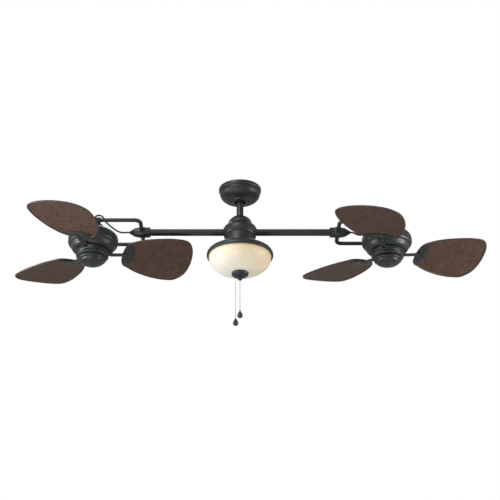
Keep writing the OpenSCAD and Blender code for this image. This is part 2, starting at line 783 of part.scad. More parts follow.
module upper_shell(side) {
    web = shaft_top + 1.5;
    color(BRONZE) at_head(side) difference() {
        union() {
            difference() {
                union() {
                    rotate_extrude($fn = 96) polygon(upper_outline(0));
                    both_sides() lug();
                    // Gland where the supply cable enters
                    rotate_extrude() polygon([
                        [0, cap_z - 2], [8, cap_z - 2], [8, cap_z + 3], [6, cap_z + 4],
                        [cable_d / 2 + 1.2, gland_top], [0, gland_top]]);
                }
                rotate_extrude($fn = 96) polygon(upper_outline(motor_wall));
                translate([0, 0, band_z - 1]) cylinder(r = motor_r - motor_wall, h = 2);
            }
            intersection() {
                rotate_extrude($fn = 96) polygon(upper_outline(1));
                union() {
                    translate([0, 0, web]) cylinder(r = motor_r, h = 3);
                    translate([0, 0, upper_bearing_z]) cylinder(r = bearing_d / 2 + 3, h = web - upper_bearing_z + 1);
                }
            }
        }
        translate([0, 0, upper_bearing_z - 1]) cylinder(d = bearing_d, h = bearing_h + 1);
        translate([0, 0, upper_bearing_z]) cylinder(r = shaft_r + 2, h = shaft_top - upper_bearing_z + 1);
        both_sides() along_y(pivot_d / 2, lug_in - 1, lug_out + 1);
    }
}

// Outline of the lower shell drawn in by w: a lip, a step and a bowl down to the foot
function lower_outline(w) = concat(
    [[0, band_z], [motor_r - 1 - w, band_z]],
    arc(motor_r - 25, band_z - 1, 24 - w, 16 - w, 0, -48, 4),
    [[motor_r - 11 - w, band_z - 14 - w / 3]],
    arc(motor_foot_r - 4, motor_bottom + 15, motor_r - motor_foot_r - 10 - w, 15 - w, -8, -72, 5),
    [[motor_foot_r - 2 - w, motor_bottom + w], [0, motor_bottom + w]]);

module lower_shell(side) {
    color(BRONZE) at_head(side) difference() {
        union() {
            difference() {
                rotate_extrude($fn = 96) polygon(lower_outline(0));
                rotate_extrude($fn = 96) polygon(lower_outline(motor_wall));
                translate([0, 0, band_z - 1]) cylinder(r = motor_r - 1 - motor_wall, h = 2);
            }
            ring(stator_r, stator_r - stator_wall, motor_bottom + 1, stator_bottom);
            translate([0, 0, motor_bottom + 1])
                cylinder(r = bearing_d / 2 + 3, h = lower_bearing_z + bearing_h - motor_bottom - 1);
        }
        translate([0, 0, lower_bearing_z]) cylinder(d = bearing_d, h = bearing_h + 1);
        translate([0, 0, motor_bottom - 1]) cylinder(r = shaft_r + 4, h = 10);
    }
}

module stator(side) {
    color(STEEL) at_head(side) ring(stator_r, stator_in, stator_bottom, stator_top);
}

module rotor(side) {
    color(STEEL) at_head(side) ring(stator_in - rotor_in_gap, shaft_r, stator_bottom + rotor_inset,
                                   stator_top - rotor_inset);
}

// Shaft with a collar that runs on the lower bearing
module shaft(side) {
    collar_z = lower_bearing_z + bearing_h + face_gap;
    color(STEEL) at_head(side) {
        translate([0, 0, shaft_bottom]) cylinder(r = shaft_r, h = shaft_top - shaft_bottom);
        translate([0, 0, collar_z]) cylinder(r = shaft_r + 3, h = 3);
    }
}

module bearings(side) {
    color(STEEL) at_head(side) for (z = [upper_bearing_z, lower_bearing_z])
        ring(bearing_d / 2, shaft_r + run_gap, z, z + bearing_h);
}

// ---- rotor disc, irons, blades and nose ---------------------------------------------

module at_blades(side) {
    turn = side < 0 ? left_turn : right_turn;
    translate([side * head_reach, 0, -arm_drop]) rotate([swivel(side), 0, 0])
        for (i = [0:blade_count - 1]) rotate([0, 0, turn + i * 360 / blade_count]) children();
}

module flywheel(side) {
    color(BRONZE) difference() {
        at_head(side) union() {
            translate([0, 0, iron_top]) cylinder(r = nose_r + 1.5, h = rotor_plate_t);
            ring(nose_r + 1.5, nose_r - 2.5, rotor_bottom, rotor_top);
            ring(shaft_r + 7, shaft_r, rotor_bottom + 1, rotor_top);
        }
        at_head(side) translate([0, 0, rotor_bottom - 1]) cylinder(r = shaft_r, h = 20);
        at_blades(side) translate([nose_r - 10, -iron_w / 2, rotor_bottom - 1])
            cube([20, iron_w, iron_top - rotor_bottom + 1]);
        at_blades(side) for (x = iron_screws_at)
            translate([x, 0, iron_top - 1]) cylinder(r = screw_r, h = rotor_plate_t + 2);
    }
}

// Lies in a blade's own plane, with X outwards from the root and Z square to the blade
module in_blade() {
    translate([blade_root, 0, blade_z]) rotate([0, -blade_rise, 0]) rotate([-blade_pitch, 0, 0])
        children();
}

// Oval bracket plate bent to the blade's underside, with a stepped bar to the rotor disc
module blade_iron() {
    plate_bottom = blade_z - rim_t / 2 - seat_gap - plate_t;
    step_z = plate_bottom - 1.4;
    in_blade() intersection() {
        bent_sheet(rim_t + 2 * seat_gap + 2 * plate_t, rim_t + 2 * seat_gap);
        translate([plate_start + plate_l / 2, 0, -40]) scale_oval(plate_l / 2, plate_w / 2, 40);
    }
    rotate([90, 0, 0]) translate([0, 0, -iron_w / 2]) linear_extrude(height = iron_w) polygon([
        [iron_start, iron_bottom], [blade_root - 20, iron_bottom], [blade_root - 9, step_z],
        [blade_root + 8, step_z], [blade_root + 8, step_z + 2.6], [blade_root - 9, step_z + 4],
        [blade_root - 20, iron_top], [iron_start, iron_top]]);
}

// An upright oval prism with half-axes rx and ry
module scale_oval(rx, ry, h) {
    linear_extrude(height = h) polygon(arc(0, 0, rx, ry, 0, 352.5, 47));
}

module blade_irons(side) {
    color(BRONZE) at_blades(side) difference() {
        blade_iron();
        in_blade() for (p = blade_screws_at)
            translate([p[0], p[1], -20]) cylinder(r = screw_r, h = 30, $fn = 24);
        for (x = iron_screws_at)
            translate([x, 0, iron_bottom - 1]) cylinder(r = screw_r, h = iron_t + 2, $fn = 24);
    }
}

// A sheet bent round an axis along the blade, of thickness t about the blade's face. With
// a second thickness, only what lies below that thinner sheet.
module bent_sheet(t, t_above = -1) {
    translate([-20, 0, -camber_r]) rotate([0, 90, 0]) difference() {
        cylinder(r = t_above < 0 ? camber_r + t / 2 : camber_r - t_above / 2,
                 h = blade_length + 40, $fn = 200);
        translate([0, 0, -1]) cylinder(r = camber_r - t / 2, h = blade_length + 42, $fn = 200);
    }
}

// Outline of the leaf, drawn in by w
function leaf(w) = let (half = blade_length / 2, kx = (half - w) / half,
                        ky = (blade_width / 2 - w) / (blade_width / 2))
    [for (p = smooth_loop(LEAF, 3))
        [half + (p[0] / 100 * blade_length - half) * kx, p[1] / 100 * blade_width * ky]];

module leaf_prism(w) {
    translate([0, 0, -40]) linear_extrude(height = 60) polygon(leaf(w));
}

// Woven panel in a thicker rim, with a solid pad over the iron
module blade() {
    in_blade() difference() {
        union() {
            intersection() {
                bent_sheet(blade_t);
                leaf_prism(rim_w / 2);
            }
            intersection() {
                bent_sheet(rim_t);
                difference() {
                    leaf_prism(0);
                    leaf_prism(rim_w);
                }
            }
        }
        for (p = blade_screws_at)
            translate([p[0], p[1], -20]) cylinder(r = screw_r, h = 30, $fn = 24);
    }
}

module blades(side) {
    color(WICKER) at_blades(side) blade();
}

module screw(length) {
    cylinder(r = screw_r, h = length, $fn = 24);
    translate([0, 0, -screw_head_h]) cylinder(r = screw_head_r, h = screw_head_h, $fn = 24);
}

module blade_screws(side) {
    color(BRONZE_LIGHT) at_blades(side) {
        in_blade() for (p = blade_screws_at)
            translate([p[0], p[1],
                -rim_t / 2 - plate_t - screw_head_gap - camber_fall(abs(p[1]) + screw_head_r)])
                screw(plate_t + blade_t);
        for (x = iron_screws_at)
            translate([x, 0, iron_bottom]) screw(iron_t + rotor_plate_t);
    }
}

// Outline of the nose cap drawn in by w: two rings, a deep dome and a small stepped tip
function nose_outline(w) = let (r = nose_r, top = rotor_bottom, z = nose_bottom) concat(
    [[0, top], [r - 1 - w, top]],
    arc(r - 4, top - 4, 4 - w, 3.4, 60, -60, 4),
    [[r - 4.5 - w, top - 8.2 + w / 4]],
    arc(r - 7.5, top - 11, 4 - w, 2.8, 55, -50, 4),
    [for (i = [0:6]) let (t = i / 6) [r - 7.5 - w - 27 * t,
        top - 14.5 - 22 * sin(67.5 * t) / sin(67.5) + w * t]],
    arc(0, z + 11.5, 23 - w, 8.5 - w, -8, -62, 4),
    [[6 - w / 2, z + 2 + w], [4, z + w], [0, z + w]]);

module nose_cap(side) {
    color(BRONZE) at_head(side) difference() {
        union() {
            difference() {
                rotate_extrude($fn = 96) polygon(nose_outline(0));
                rotate_extrude($fn = 96) polygon(nose_outline(2));
                translate([0, 0, rotor_bottom - 1]) cylinder(r = nose_r - 3, h = 2);
            }
            translate([0, 0, nose_bottom + 5]) cylinder(r = shaft_r + 2, h = shaft_bottom + 3 - nose_bottom);
        }
        translate([0, 0, shaft_bottom]) cylinder(r = shaft_r, h = 40);
    }
}

// ---- the parts ----------------------------------------------------------------------

ceiling_bracket();
hanger_ball();
downrod();
rod_pins();
canopy();
canopy_ring();
canopy_screws();
centre_frame();
dome_cover();
switch_housing();
arm(-1);  // left_arm
arm(1);  // right_arm
arm_screws();
light_pan();
lamp_holders();
bulbs();
glass_bowl();
bowl_washer();
centre_rod();
bowl_cap();
cap_knob();
pull_switches();
chain(0, knob_bottom - fan_chain_l, chain_top);  // fan_chain
chain(-chain_offset, knob_bottom - light_chain_l, chain_top);  // light_chain
pendant(0, fan_chain_l);  // fan_pendant
pendant(-chain_offset, light_chain_l);  // light_pendant
knuckle(-1);  // left_knuckle
lock_ring(-1);  // left_lock_ring
fork(-1);  // left_fork
pivot_studs(-1);  // left_pivot_studs
tilt_knobs(-1);  // left_tilt_knobs
cable(-1);  // left_cable
upper_shell(-1);  // left_upper_shell
lower_shell(-1);  // left_lower_shell
stator(-1);  // left_stator
rotor(-1);  // left_rotor
shaft(-1);  // left_shaft
bearings(-1);  // left_bearings
flywheel(-1);  // left_flywheel
blade_irons(-1);  // left_blade_irons
blades(-1);  // left_blades
blade_screws(-1);  // left_blade_screws
nose_cap(-1);  // left_nose_cap
knuckle(1);  // right_knuckle
lock_ring(1);  // right_lock_ring
fork(1);  // right_fork
pivot_studs(1);  // right_pivot_studs
tilt_knobs(1);  // right_tilt_knobs
cable(1);  // right_cable
upper_shell(1);  // right_upper_shell
lower_shell(1);  // right_lower_shell
stator(1);  // right_stator
rotor(1);  // right_rotor
shaft(1);  // right_shaft
bearings(1);  // right_bearings
flywheel(1);  // right_flywheel
blade_irons(1);  // right_blade_irons
blades(1);  // right_blades
blade_screws(1);  // right_blade_screws
nose_cap(1);  // right_nose_cap
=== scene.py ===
"""Twin head ceiling fan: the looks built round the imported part.

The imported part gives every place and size, in metres, with the ceiling at Z = 0. Sizes that
this file repeats are in millimetres, as the part's source gives them.
"""

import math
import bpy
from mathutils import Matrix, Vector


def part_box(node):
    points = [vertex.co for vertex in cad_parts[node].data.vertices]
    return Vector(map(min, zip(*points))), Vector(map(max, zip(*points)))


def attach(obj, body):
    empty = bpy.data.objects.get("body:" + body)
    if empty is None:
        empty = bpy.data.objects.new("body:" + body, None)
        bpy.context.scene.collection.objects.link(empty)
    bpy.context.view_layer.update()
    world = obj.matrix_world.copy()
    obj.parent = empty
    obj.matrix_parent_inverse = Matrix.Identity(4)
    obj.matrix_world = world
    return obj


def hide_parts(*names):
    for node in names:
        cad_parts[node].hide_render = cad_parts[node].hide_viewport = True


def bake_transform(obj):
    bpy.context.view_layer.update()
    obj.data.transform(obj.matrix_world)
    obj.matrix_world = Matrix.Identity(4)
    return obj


bl_info = {
    "name": "Twin Head Ceiling Fan",
    "version": (1, 0, 0),
    "blender": (4, 5, 0),
    "location": "View3D > Sidebar > Fan",
    "description": "Dresses the packed ceiling fan with finished surfaces and studio light",
    "category": "Add Mesh",
}

import bmesh
import bpy
import numpy as np
from bpy.props import FloatProperty, IntProperty, PointerProperty, StringProperty
from bpy.types import Operator, Panel, PropertyGroup
from mathutils import Matrix, Vector

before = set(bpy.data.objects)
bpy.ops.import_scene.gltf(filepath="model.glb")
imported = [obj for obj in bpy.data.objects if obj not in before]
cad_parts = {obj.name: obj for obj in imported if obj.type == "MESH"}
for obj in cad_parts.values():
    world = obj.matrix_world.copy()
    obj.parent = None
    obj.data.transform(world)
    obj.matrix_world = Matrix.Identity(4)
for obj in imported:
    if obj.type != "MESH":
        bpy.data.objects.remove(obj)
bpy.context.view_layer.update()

MM = 0.001
SIDES = {"left": -1, "right": 1}
BLADES = 3

# Sizes shared with the part's source, in millimetres
ARM_DROP = 188.0
HEAD_REACH = 560.0
FORK_LENGTH = 185.0
FORK_SPAN = 194.0
FORK_BEND = 23.0
EYE_D = 28.0
EYE_T = 14.0
PIVOT_R = 4.05
PIPE_R = 13.35
KNUCKLE_IN = 23.0
KNUCKLE_OUT = 47.0
NECK_SIDE = 38.0
CABLE_END = 52.05
BLADE_ROOT = 113.0
BLADE_LENGTH = 270.0
BLADE_WIDTH = 254.0
BLADE_Z = -76.0
CAMBER_RADIUS = 1400.0
RIM_WIDTH = 6.0
RIM_THICKNESS = 6.0
PANEL_THICKNESS = 4.0
PLATE_W = 112.0
PLATE_T = 3.0
IRON_Z = -89.0
CANOPY_R = 82.0
CANOPY_H = 50.0
COVER_WALL = 1.8
HOUSING_BOTTOM = -72.0
PAN_R = 126.5
PAN_BOTTOM = -104.0
GLASS_R = 118.0
DOME_R = 64.0
DOME_H = 66.0
SEAM_DROP = 19.0
MOTOR_R = 95.0
MOTOR_WALL = 2.6
MOTOR_BOTTOM = -82.0
BAND_Z = -47.0
FOOT_R = 66.0
NOSE_R = 61.5
ROTOR_BOTTOM = -92.5

# Angles shared with the part's source, in degrees
BLADE_PITCH = 11.5
BLADE_RISE = 1.0
TURNS = {"left": 13.0, "right": 10.5}
SWIVELS = {"left": -1.5, "right": 1.0}

# Sizes of the forms that this file makes finer or fuller than the solids, in millimetres
FORK_BAR = 15.0
# An iron starts inside the disc's slot, is free of the disc further out, and then widens
IRON_START = 40.0
IRON_FREE = 65.0
IRON_RISE = 5.6
IRON_SLOT_W = 12.4
IRON_SLOT_T = 3.8
IRON_W = 21.0
IRON_T = 6.8
IRON_END_T = 4.8
# An iron's plate starts a little outside the blade's root
PLATE_START = 3.5
PLATE_L = 41.0
PLATE_EDGE = 0.9
PLATE_CROWN = 1.1
PLATE_GAP = 0.05
NOSE_BOTTOM = -141.5
# How far the panel's edge lies inside the leaf's outline, covered by the rim
PANEL_INSET = 0.4 * RIM_WIDTH
# How much the weave's relief takes off each face of the panel
RELIEF_ROOM = 0.45
# Keeps the panel's UV map above zero over the whole leaf
UV_SHIFT = 400.0

# The leaf's outline in hundredths of its length, from the root, and of its width, from the
# middle line towards the trailing edge
LEAF = [(1.2, -3), (5, -20), (15, -30), (31, -38), (51, -43.5), (70, -46), (87.5, -43),
        (96.5, -27.5), (100, -5), (99.5, 16.5), (94.5, 36.5), (83, 50), (70.5, 52.5),
        (57, 51.5), (42, 48), (23.5, 40.3), (11, 32), (4, 27), (0.9, 17)]


# ---- sizes and colours that a user would change ---------------------------------------


class FanSizes(PropertyGroup):
    """Sizes of the weave, the cables and the chains, and how finely pieces are turned"""

    weave_block: FloatProperty(
        name="Weave block", description="Side of one square of the basket weave, mm",
        default=10.2, min=6.0, max=40.0)
    strand: FloatProperty(
        name="Strand", description="Width of one strand of the weave, mm",
        default=3.4, min=1.5, max=12.0)
    weave_relief: FloatProperty(
        name="Weave relief", description="Height of the weave's squares, mm",
        default=0.6, min=0.0, max=1.5)
    cable_diameter: FloatProperty(
        name="Cable diameter", description="Diameter of the supply cables, mm",
        default=6.6, min=4.0, max=8.0)
    bead_diameter: FloatProperty(
        name="Bead diameter", description="Diameter of a bead in the pull chains, mm",
        default=2.4, min=1.6, max=3.2)
    bead_pitch: FloatProperty(
        name="Bead pitch", description="Distance from bead to bead, mm",
        default=3.2, min=2.4, max=5.0)
    turn_segments: IntProperty(
        name="Turned segments", description="Segments round a turned piece",
        default=144, min=48, max=256)


class FanColours(PropertyGroup):
    """Colours, as sRGB hex values"""

    bronze: StringProperty(
        name="Bronze", description="Dark bronze paint of the metal", default="#1e2222")
    bronze_worn: StringProperty(
        name="Bronze, rubbed", description="Lighter tone where the paint thins",
        default="#2a2f2f")
    wicker_dark: StringProperty(
        name="Palm, dark", description="Dark strands of the blades", default="#3b2820")
    wicker_light: StringProperty(
        name="Palm, light", description="Light strands of the blades", default="#5b443a")
    rim: StringProperty(
        name="Blade rim", description="Stained rim of the blades", default="#3a2a24")
    glass: StringProperty(
        name="Glass", description="Etched glass of the bowl", default="#ebe6d8")
    # The deep end of the glass's ramp: its clouds and its rim reach it, and so does the painted
    # shade towards +X
    glass_deep: StringProperty(
        name="Glass, deep", description="Warm tone in the glass's clouds", default="#dcc7a4")


# ---- small tools ----------------------------------------------------------------------


def linear(code):
    """An sRGB hex colour as linear RGBA."""
    rgb = [int(code[i:i + 2], 16) / 255 for i in (1, 3, 5)]
    return [c / 12.92 if c <= 0.04045 else ((c + 0.055) / 1.055) ** 2.4 for c in rgb] + [1.0]


def arc(cx, cy, rx, ry, a0, a1, n=14):
    """Points of an arc about (cx, cy) with radii rx and ry, from angle a0 to a1 in degrees."""
    a = np.radians(np.linspace(a0, a1, n + 1))
    return np.column_stack([cx + rx * np.cos(a), cy + ry * np.sin(a)])


def ring(count, power=1.0):
    """Points round a unit circle, squared off where power is under 1: each coordinate is
    sign(f) |f|^power, with f the cosine or the sine of the angle."""
    a = np.linspace(0, 2 * np.pi, count, endpoint=False)
    f = np.column_stack([np.cos(a), np.sin(a)])
    return np.sign(f) * np.abs(f)**power


def between(x, start, end):
    """0 up to start, 1 from end on, and a straight rise from one to the other."""
    return np.clip((x - start) / (end - start), 0, 1)


def join(*parts):
    """Points and lists of points as one array."""
    return np.vstack([np.atleast_2d(np.asarray(p, float)) for p in parts])


def smooth_curve(points, steps, closed):
    """A Catmull-Rom curve through the points: each step is a cubic through four neighbours."""
    p = np.asarray(points, float)
    n = len(p)
    i = np.arange(n if closed else n - 1)
    pick = (lambda k: k % n) if closed else (lambda k: np.clip(k, 0, n - 1))
    a, b, c, d = (p[pick(i + k)][:, None, :] for k in (-1, 0, 1, 2))
    s = (np.arange(steps) / steps)[None, :, None]
    q = 0.5 * (2 * b + (c - a) * s + (2 * a - 5 * b + 4 * c - d) * s**2
               + (3 * b - a - 3 * c + d) * s**3)
    q = q.reshape(-1, p.shape[1])
    return q if closed else np.vstack([q, p[-1:]])


def spread(points, count, closed=False):
    """The same line with count points at equal distances along it."""
    p = np.vstack([points, points[:1]]) if closed else np.asarray(points)
    along = np.concatenate([[0], np.cumsum(np.linalg.norm(np.diff(p, axis=0), axis=1))])
    at = np.linspace(0, along[-1], count, endpoint=not closed)
    return np.column_stack([np.interp(at, along, p[:, k]) for k in range(p.shape[1])])


def soften(points, radius, n=3):
    """Rounds each corner of a closed outline that turns by more than 25 degrees, with a
    quadratic curve between points at most radius from the corner. Points on the axis stay."""
    p = np.asarray(points, float)
    before, after = np.roll(p, 1, axis=0) - p, np.roll(p, -1, axis=0) - p
    lb, la = np.linalg.norm(before, axis=1), np.linalg.norm(after, axis=1)
    turn = -np.einsum("ij,ij->i", before, after) / np.maximum(lb * la, 1e-9)
    cut = np.where(turn < math.cos(math.radians(25)), radius, 0.0)
    cut = np.where(p[:, 0] < 1e-6, 0.0, cut)
    cut = np.minimum(cut, 0.45 * np.minimum(lb, la))
    a = p + before / np.maximum(lb, 1e-9)[:, None] * cut[:, None]
    b = p + after / np.maximum(la, 1e-9)[:, None] * cut[:, None]
    s = np.linspace(0, 1, n + 1)[None, :, None]
    q = (1 - s)**2 * a[:, None] + 2 * s * (1 - s) * p[:, None] + s**2 * b[:, None]
    rows = [q[i] if cut[i] > 0 else p[i:i + 1] for i in range(len(p))]
    return np.vstack(rows)


def grid_faces(rows, columns, wrap_rows, wrap_columns):
    """Quads of a grid whose points are numbered along one row after another."""
    i = np.arange(rows if wrap_rows else rows - 1)
    k = np.arange(columns if wrap_columns else columns - 1)
    i, k = (x.ravel() for x in np.meshgrid(i, k, indexing="ij"))
    i2, k2 = (i + 1) % rows, (k + 1) % columns
    return np.column_stack([i * columns + k, i * columns + k2, i2 * columns + k2,
                            i2 * columns + k])


def mesh_object(name, points, faces, place=None, weld=False, sharp=38.0):
    """An object at the origin from points in millimetres, moved by the matrix place, with
    smooth shading and sharp edges over the angle sharp."""
    p = np.asarray(points, float).reshape(-1, 3) * MM
    if place is not None:
        m = np.array(place)
        p = p @ m[:3, :3].T + m[:3, 3]
    mesh = bpy.data.meshes.new(name)
    mesh.from_pydata(p.tolist(), [], [list(map(int, f)) for f in faces])
    if weld:
        bm = bmesh.new()
        bm.from_mesh(mesh)
        bmesh.ops.remove_doubles(bm, verts=bm.verts, dist=1e-7)
        bmesh.ops.dissolve_degenerate(bm, edges=bm.edges, dist=1e-8)
        bm.to_mesh(mesh)
        bm.free()
    mesh.polygons.foreach_set("use_smooth", [True] * len(mesh.polygons))
    mesh.set_sharp_from_angle(angle=math.radians(sharp))
    obj = bpy.data.objects.new(name, mesh)
    bpy.context.collection.objects.link(obj)
    return obj


def lathe(name, outline, place=None, round_off=0.5, segments=None):
    """A closed outline of (radius, height) points turned round the Z axis. Each point of the
    outline makes one ring: (r cos a, r sin a, z)."""
    p = soften(outline, round_off) if round_off else np.asarray(outline, float)
    area = np.sum(p[:, 0] * np.roll(p[:, 1], -1) - np.roll(p[:, 0], -1) * p[:, 1])
    if area < 0:
        p = p[::-1]
    n = segments or bpy.context.scene.fan_sizes.turn_segments
    a = np.linspace(0, 2 * np.pi, n, endpoint=False)
    grid = np.empty((len(p), n, 3))
    grid[..., 0] = p[:, :1] * np.cos(a)
    grid[..., 1] = p[:, :1] * np.sin(a)
    grid[..., 2] = p[:, 1:]
    faces = grid_faces(len(p), n, True, True)
    on_axis = p[:, 0] < 1e-6
    if on_axis.any():
        row = np.arange(len(p)).repeat(n)
        faces = faces[~(on_axis[row] & on_axis[(row + 1) % len(p)])]
    return mesh_object(name, grid, faces, place, weld=bool(on_axis.any()))


def sweep(name, line, section, place, closed=False, up=(0, 1, 0)):
    """A closed section of (across, up) points carried along a line. Each ring stands square
    to the line: point = line + side * across + lift * up."""
    line, section = np.asarray(line, float), np.asarray(section, float)
    ahead = np.roll(line, -1, axis=0) - np.roll(line, 1, axis=0)
    if not closed:
        ahead[0], ahead[-1] = line[1] - line[0], line[-1] - line[-2]
    ahead /= np.linalg.norm(ahead, axis=1)[:, None]
    side = np.cross(ahead, np.asarray(up, float))
    side /= np.linalg.norm(side, axis=1)[:, None]
    lift = np.cross(side, ahead)
    grid = (line[:, None] + side[:, None] * section[None, :, :1]
            + lift[:, None] * section[None, :, 1:])
    rows, columns = grid.shape[:2]
    faces = grid_faces(rows, columns, closed, True).tolist()
    if not closed:
        faces += [list(range(columns - 1, -1, -1)),
                  list(range((rows - 1) * columns, rows * columns))]
    return mesh_object(name, grid, faces, place, sharp=50.0)


def shifted(x, y, z):
    """A shift in millimetres."""
    return Matrix.Translation((x * MM, y * MM, z * MM))


def rotated(degrees, axis):
    """A turn about the X, Y or Z axis."""
    return Matrix.Rotation(math.radians(degrees), 4, axis)


def at_arm():
    """The middle of the fan, on the axis of the two arms."""
    return shifted(0, 0, -ARM_DROP)


def at_side(side):
    """The middle of a head's tilt axis, turned by the head's swivel."""
    return shifted(SIDES[side] * HEAD_REACH, 0, -ARM_DROP) @ rotated(SWIVELS[side], "X")


def at_head(side):
    """A head's place: its X axis points to the middle of the fan."""
    return at_side(side) @ rotated(180 if SIDES[side] > 0 else 0, "Z")


def at_iron(side, index):
    """A blade iron's place: X from the head's axis along the blade."""
    return at_side(side) @ rotated(TURNS[side] + 360 / BLADES * index, "Z")


def at_blade(side, index):
    """A blade's place: X outwards from its root, Z square to the blade."""
    return (at_iron(side, index) @ shifted(BLADE_ROOT, 0, BLADE_Z)
            @ rotated(-BLADE_RISE, "Y") @ rotated(-BLADE_PITCH, "X"))


def dress(obj, material, body, node):
    """Gives a new piece its material and body, and hides the node that it stands for."""
    obj.data.materials.append(bpy.data.materials[material])
    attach(obj, body)
    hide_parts(node)


def dress_metal(obj, body, node):
    """Dresses a new piece of painted metal."""
    dress(obj, "bronze_paint", body, node)


# ---- materials ------------------------------------------------------------------------


def feed(node, inputs):
    """Sets a node's inputs. Each is a value, a socket to link from, or a node whose first
    output is linked."""
    for key, value in inputs.items():
        if isinstance(value, bpy.types.Node):
            value = value.outputs[0]
        if isinstance(value, bpy.types.NodeSocket):
            node.id_data.links.new(value, node.inputs[key])
        else:
            node.inputs[key].default_value = value


def add(tree, kind, inputs=None, stops=(), **settings):
    """Adds one node with its settings and inputs. A colour ramp has two stops, each a
    (position, colour)."""
    node = tree.nodes.new("ShaderNode" + kind)
    for key, value in settings.items():
        setattr(node, key, value)
    feed(node, inputs or {})
    if stops:
        for element, (position, colour) in zip(node.color_ramp.elements, stops):
            element.position = position
            element.color = colour
    return node


def new_material(name, inputs):
    """A material with a Principled surface and its inputs. Returns its tree and the shader."""
    material = bpy.data.materials.new(name)
    material.use_nodes = True
    tree = material.node_tree
    shader = tree.nodes["Principled BSDF"]
    feed(shader, inputs)
    return tree, shader


def metal(name, dark, light, metallic, roughness, mottle_mm, peel=0.05):
    """A metal surface: its colour and gloss drift in a soft cloud where the coat or the skin
    is thicker, and a fine unevenness of about 1.5 mm softens the highlights."""
    tree, shader = new_material(name, {"Metallic": metallic, "Roughness": roughness})
    place = add(tree, "TexCoord").outputs["Object"]
    cloud = add(tree, "TexNoise", {"Vector": place, "Scale": 1000 / mottle_mm, "Detail": 3.0,
                                   "Roughness": 0.5})
    tone = add(tree, "ValToRGB", {"Fac": cloud}, [(0.34, linear(dark)), (0.68, linear(light))])
    gloss = add(tree, "MapRange", {"Value": cloud, "From Min": 0.3, "From Max": 0.7,
                                   "To Min": roughness + 0.04, "To Max": roughness - 0.04})
    grain = add(tree, "TexNoise", {"Vector": place, "Scale": 1000 / 1.5, "Detail": 2.0})
    bump = add(tree, "Bump", {"Height": grain, "Strength": peel, "Distance": 0.0003})
    feed(shader, {"Base Color": tone, "Roughness": gloss, "Normal": bump})
    return shader


def even_finish(name, dark, light, cloud_mm, roughness, detail=2.0):
    """An even surface whose colour drifts between two close tones over about cloud_mm."""
    tree, shader = new_material(name, {"Roughness": roughness})
    place = add(tree, "TexCoord").outputs["Object"]
    cloud = add(tree, "TexNoise", {"Vector": place, "Scale": 1000 / cloud_mm, "Detail": detail})
    tone = add(tree, "ValToRGB", {"Fac": cloud}, [(0.3, linear(dark)), (0.8, linear(light))])
    feed(shader, {"Base Color": tone})
    return tree, shader, cloud


def make_materials(colours):
    """All the fan's finishes."""
    # Sprayed bronze paint under satin lacquer: dark, a little cloudy, with soft highlights
    paint = metal("bronze_paint", colours.bronze, colours.bronze_worn, 0.35, 0.45, 34)
    feed(paint, {"Coat Weight": 0.3, "Coat Roughness": 0.36})
    # Zinc-plated steel of the bracket, pins and studs: bright grey, finely mottled
    metal("zinc_plate", "#8b8e90", "#a4a7a8", 1.0, 0.34, 6)
    # Sand-cast aluminium of the centre frame: dull, with a rough skin
    metal("cast_aluminium", "#6c6e6f", "#888a8a", 1.0, 0.5, 4, 0.3)
    # Turned and ground steel of the shafts and bearings: bright and smooth
    metal("turned_steel", "#9a9c9e", "#b2b4b5", 1.0, 0.24, 3)
    # Stacked sheet steel of the motors: darker and duller than the turned steel
    metal("laminated_steel", "#5c5e60", "#77797a", 1.0, 0.45, 3)
    # Antique brass of the chains: browned and softly shiny
    metal("antique_brass", "#4a4640", "#67604f", 0.9, 0.34, 4)
    # Extruded PVC jacket of the cables: even, dark, with a dull sheen
    even_finish("cable_pvc", "#1c1d1e", "#2c2d2e", 14, 0.5, 3.0)
    # Glazed porcelain of the lamp holders: smooth, white, a little uneven in the glaze
    even_finish("glazed_porcelain", "#e6e3da", "#f2f0ea", 10, 0.18)
    # Frosted glass of the lamps: white and even, softly glossy
    even_finish("frosted_lamp", "#efece4", "#faf8f2", 6, 0.3)
    # Soft black rubber of the washer: matte
    even_finish("soft_rubber", "#1a1a1a", "#262626", 3, 0.75)
    # Stained and sealed rim of bent cane: darker than the weave, finely mottled
    even_finish("stained_cane", colours.rim, "#42312a", 5, 0.42, 5.0)

    # Moulded nylon of the hanger ball and the switches: matte with a fine grain
    tree, shader, grain = even_finish("moulded_nylon", "#1f2021", "#2b2c2d", 0.8, 0.55)
    feed(shader, {"Normal": add(tree, "Bump", {"Height": grain, "Strength": 0.2,
                                               "Distance": 0.0002})})

    etched_glass(colours)
    woven_palm(colours)


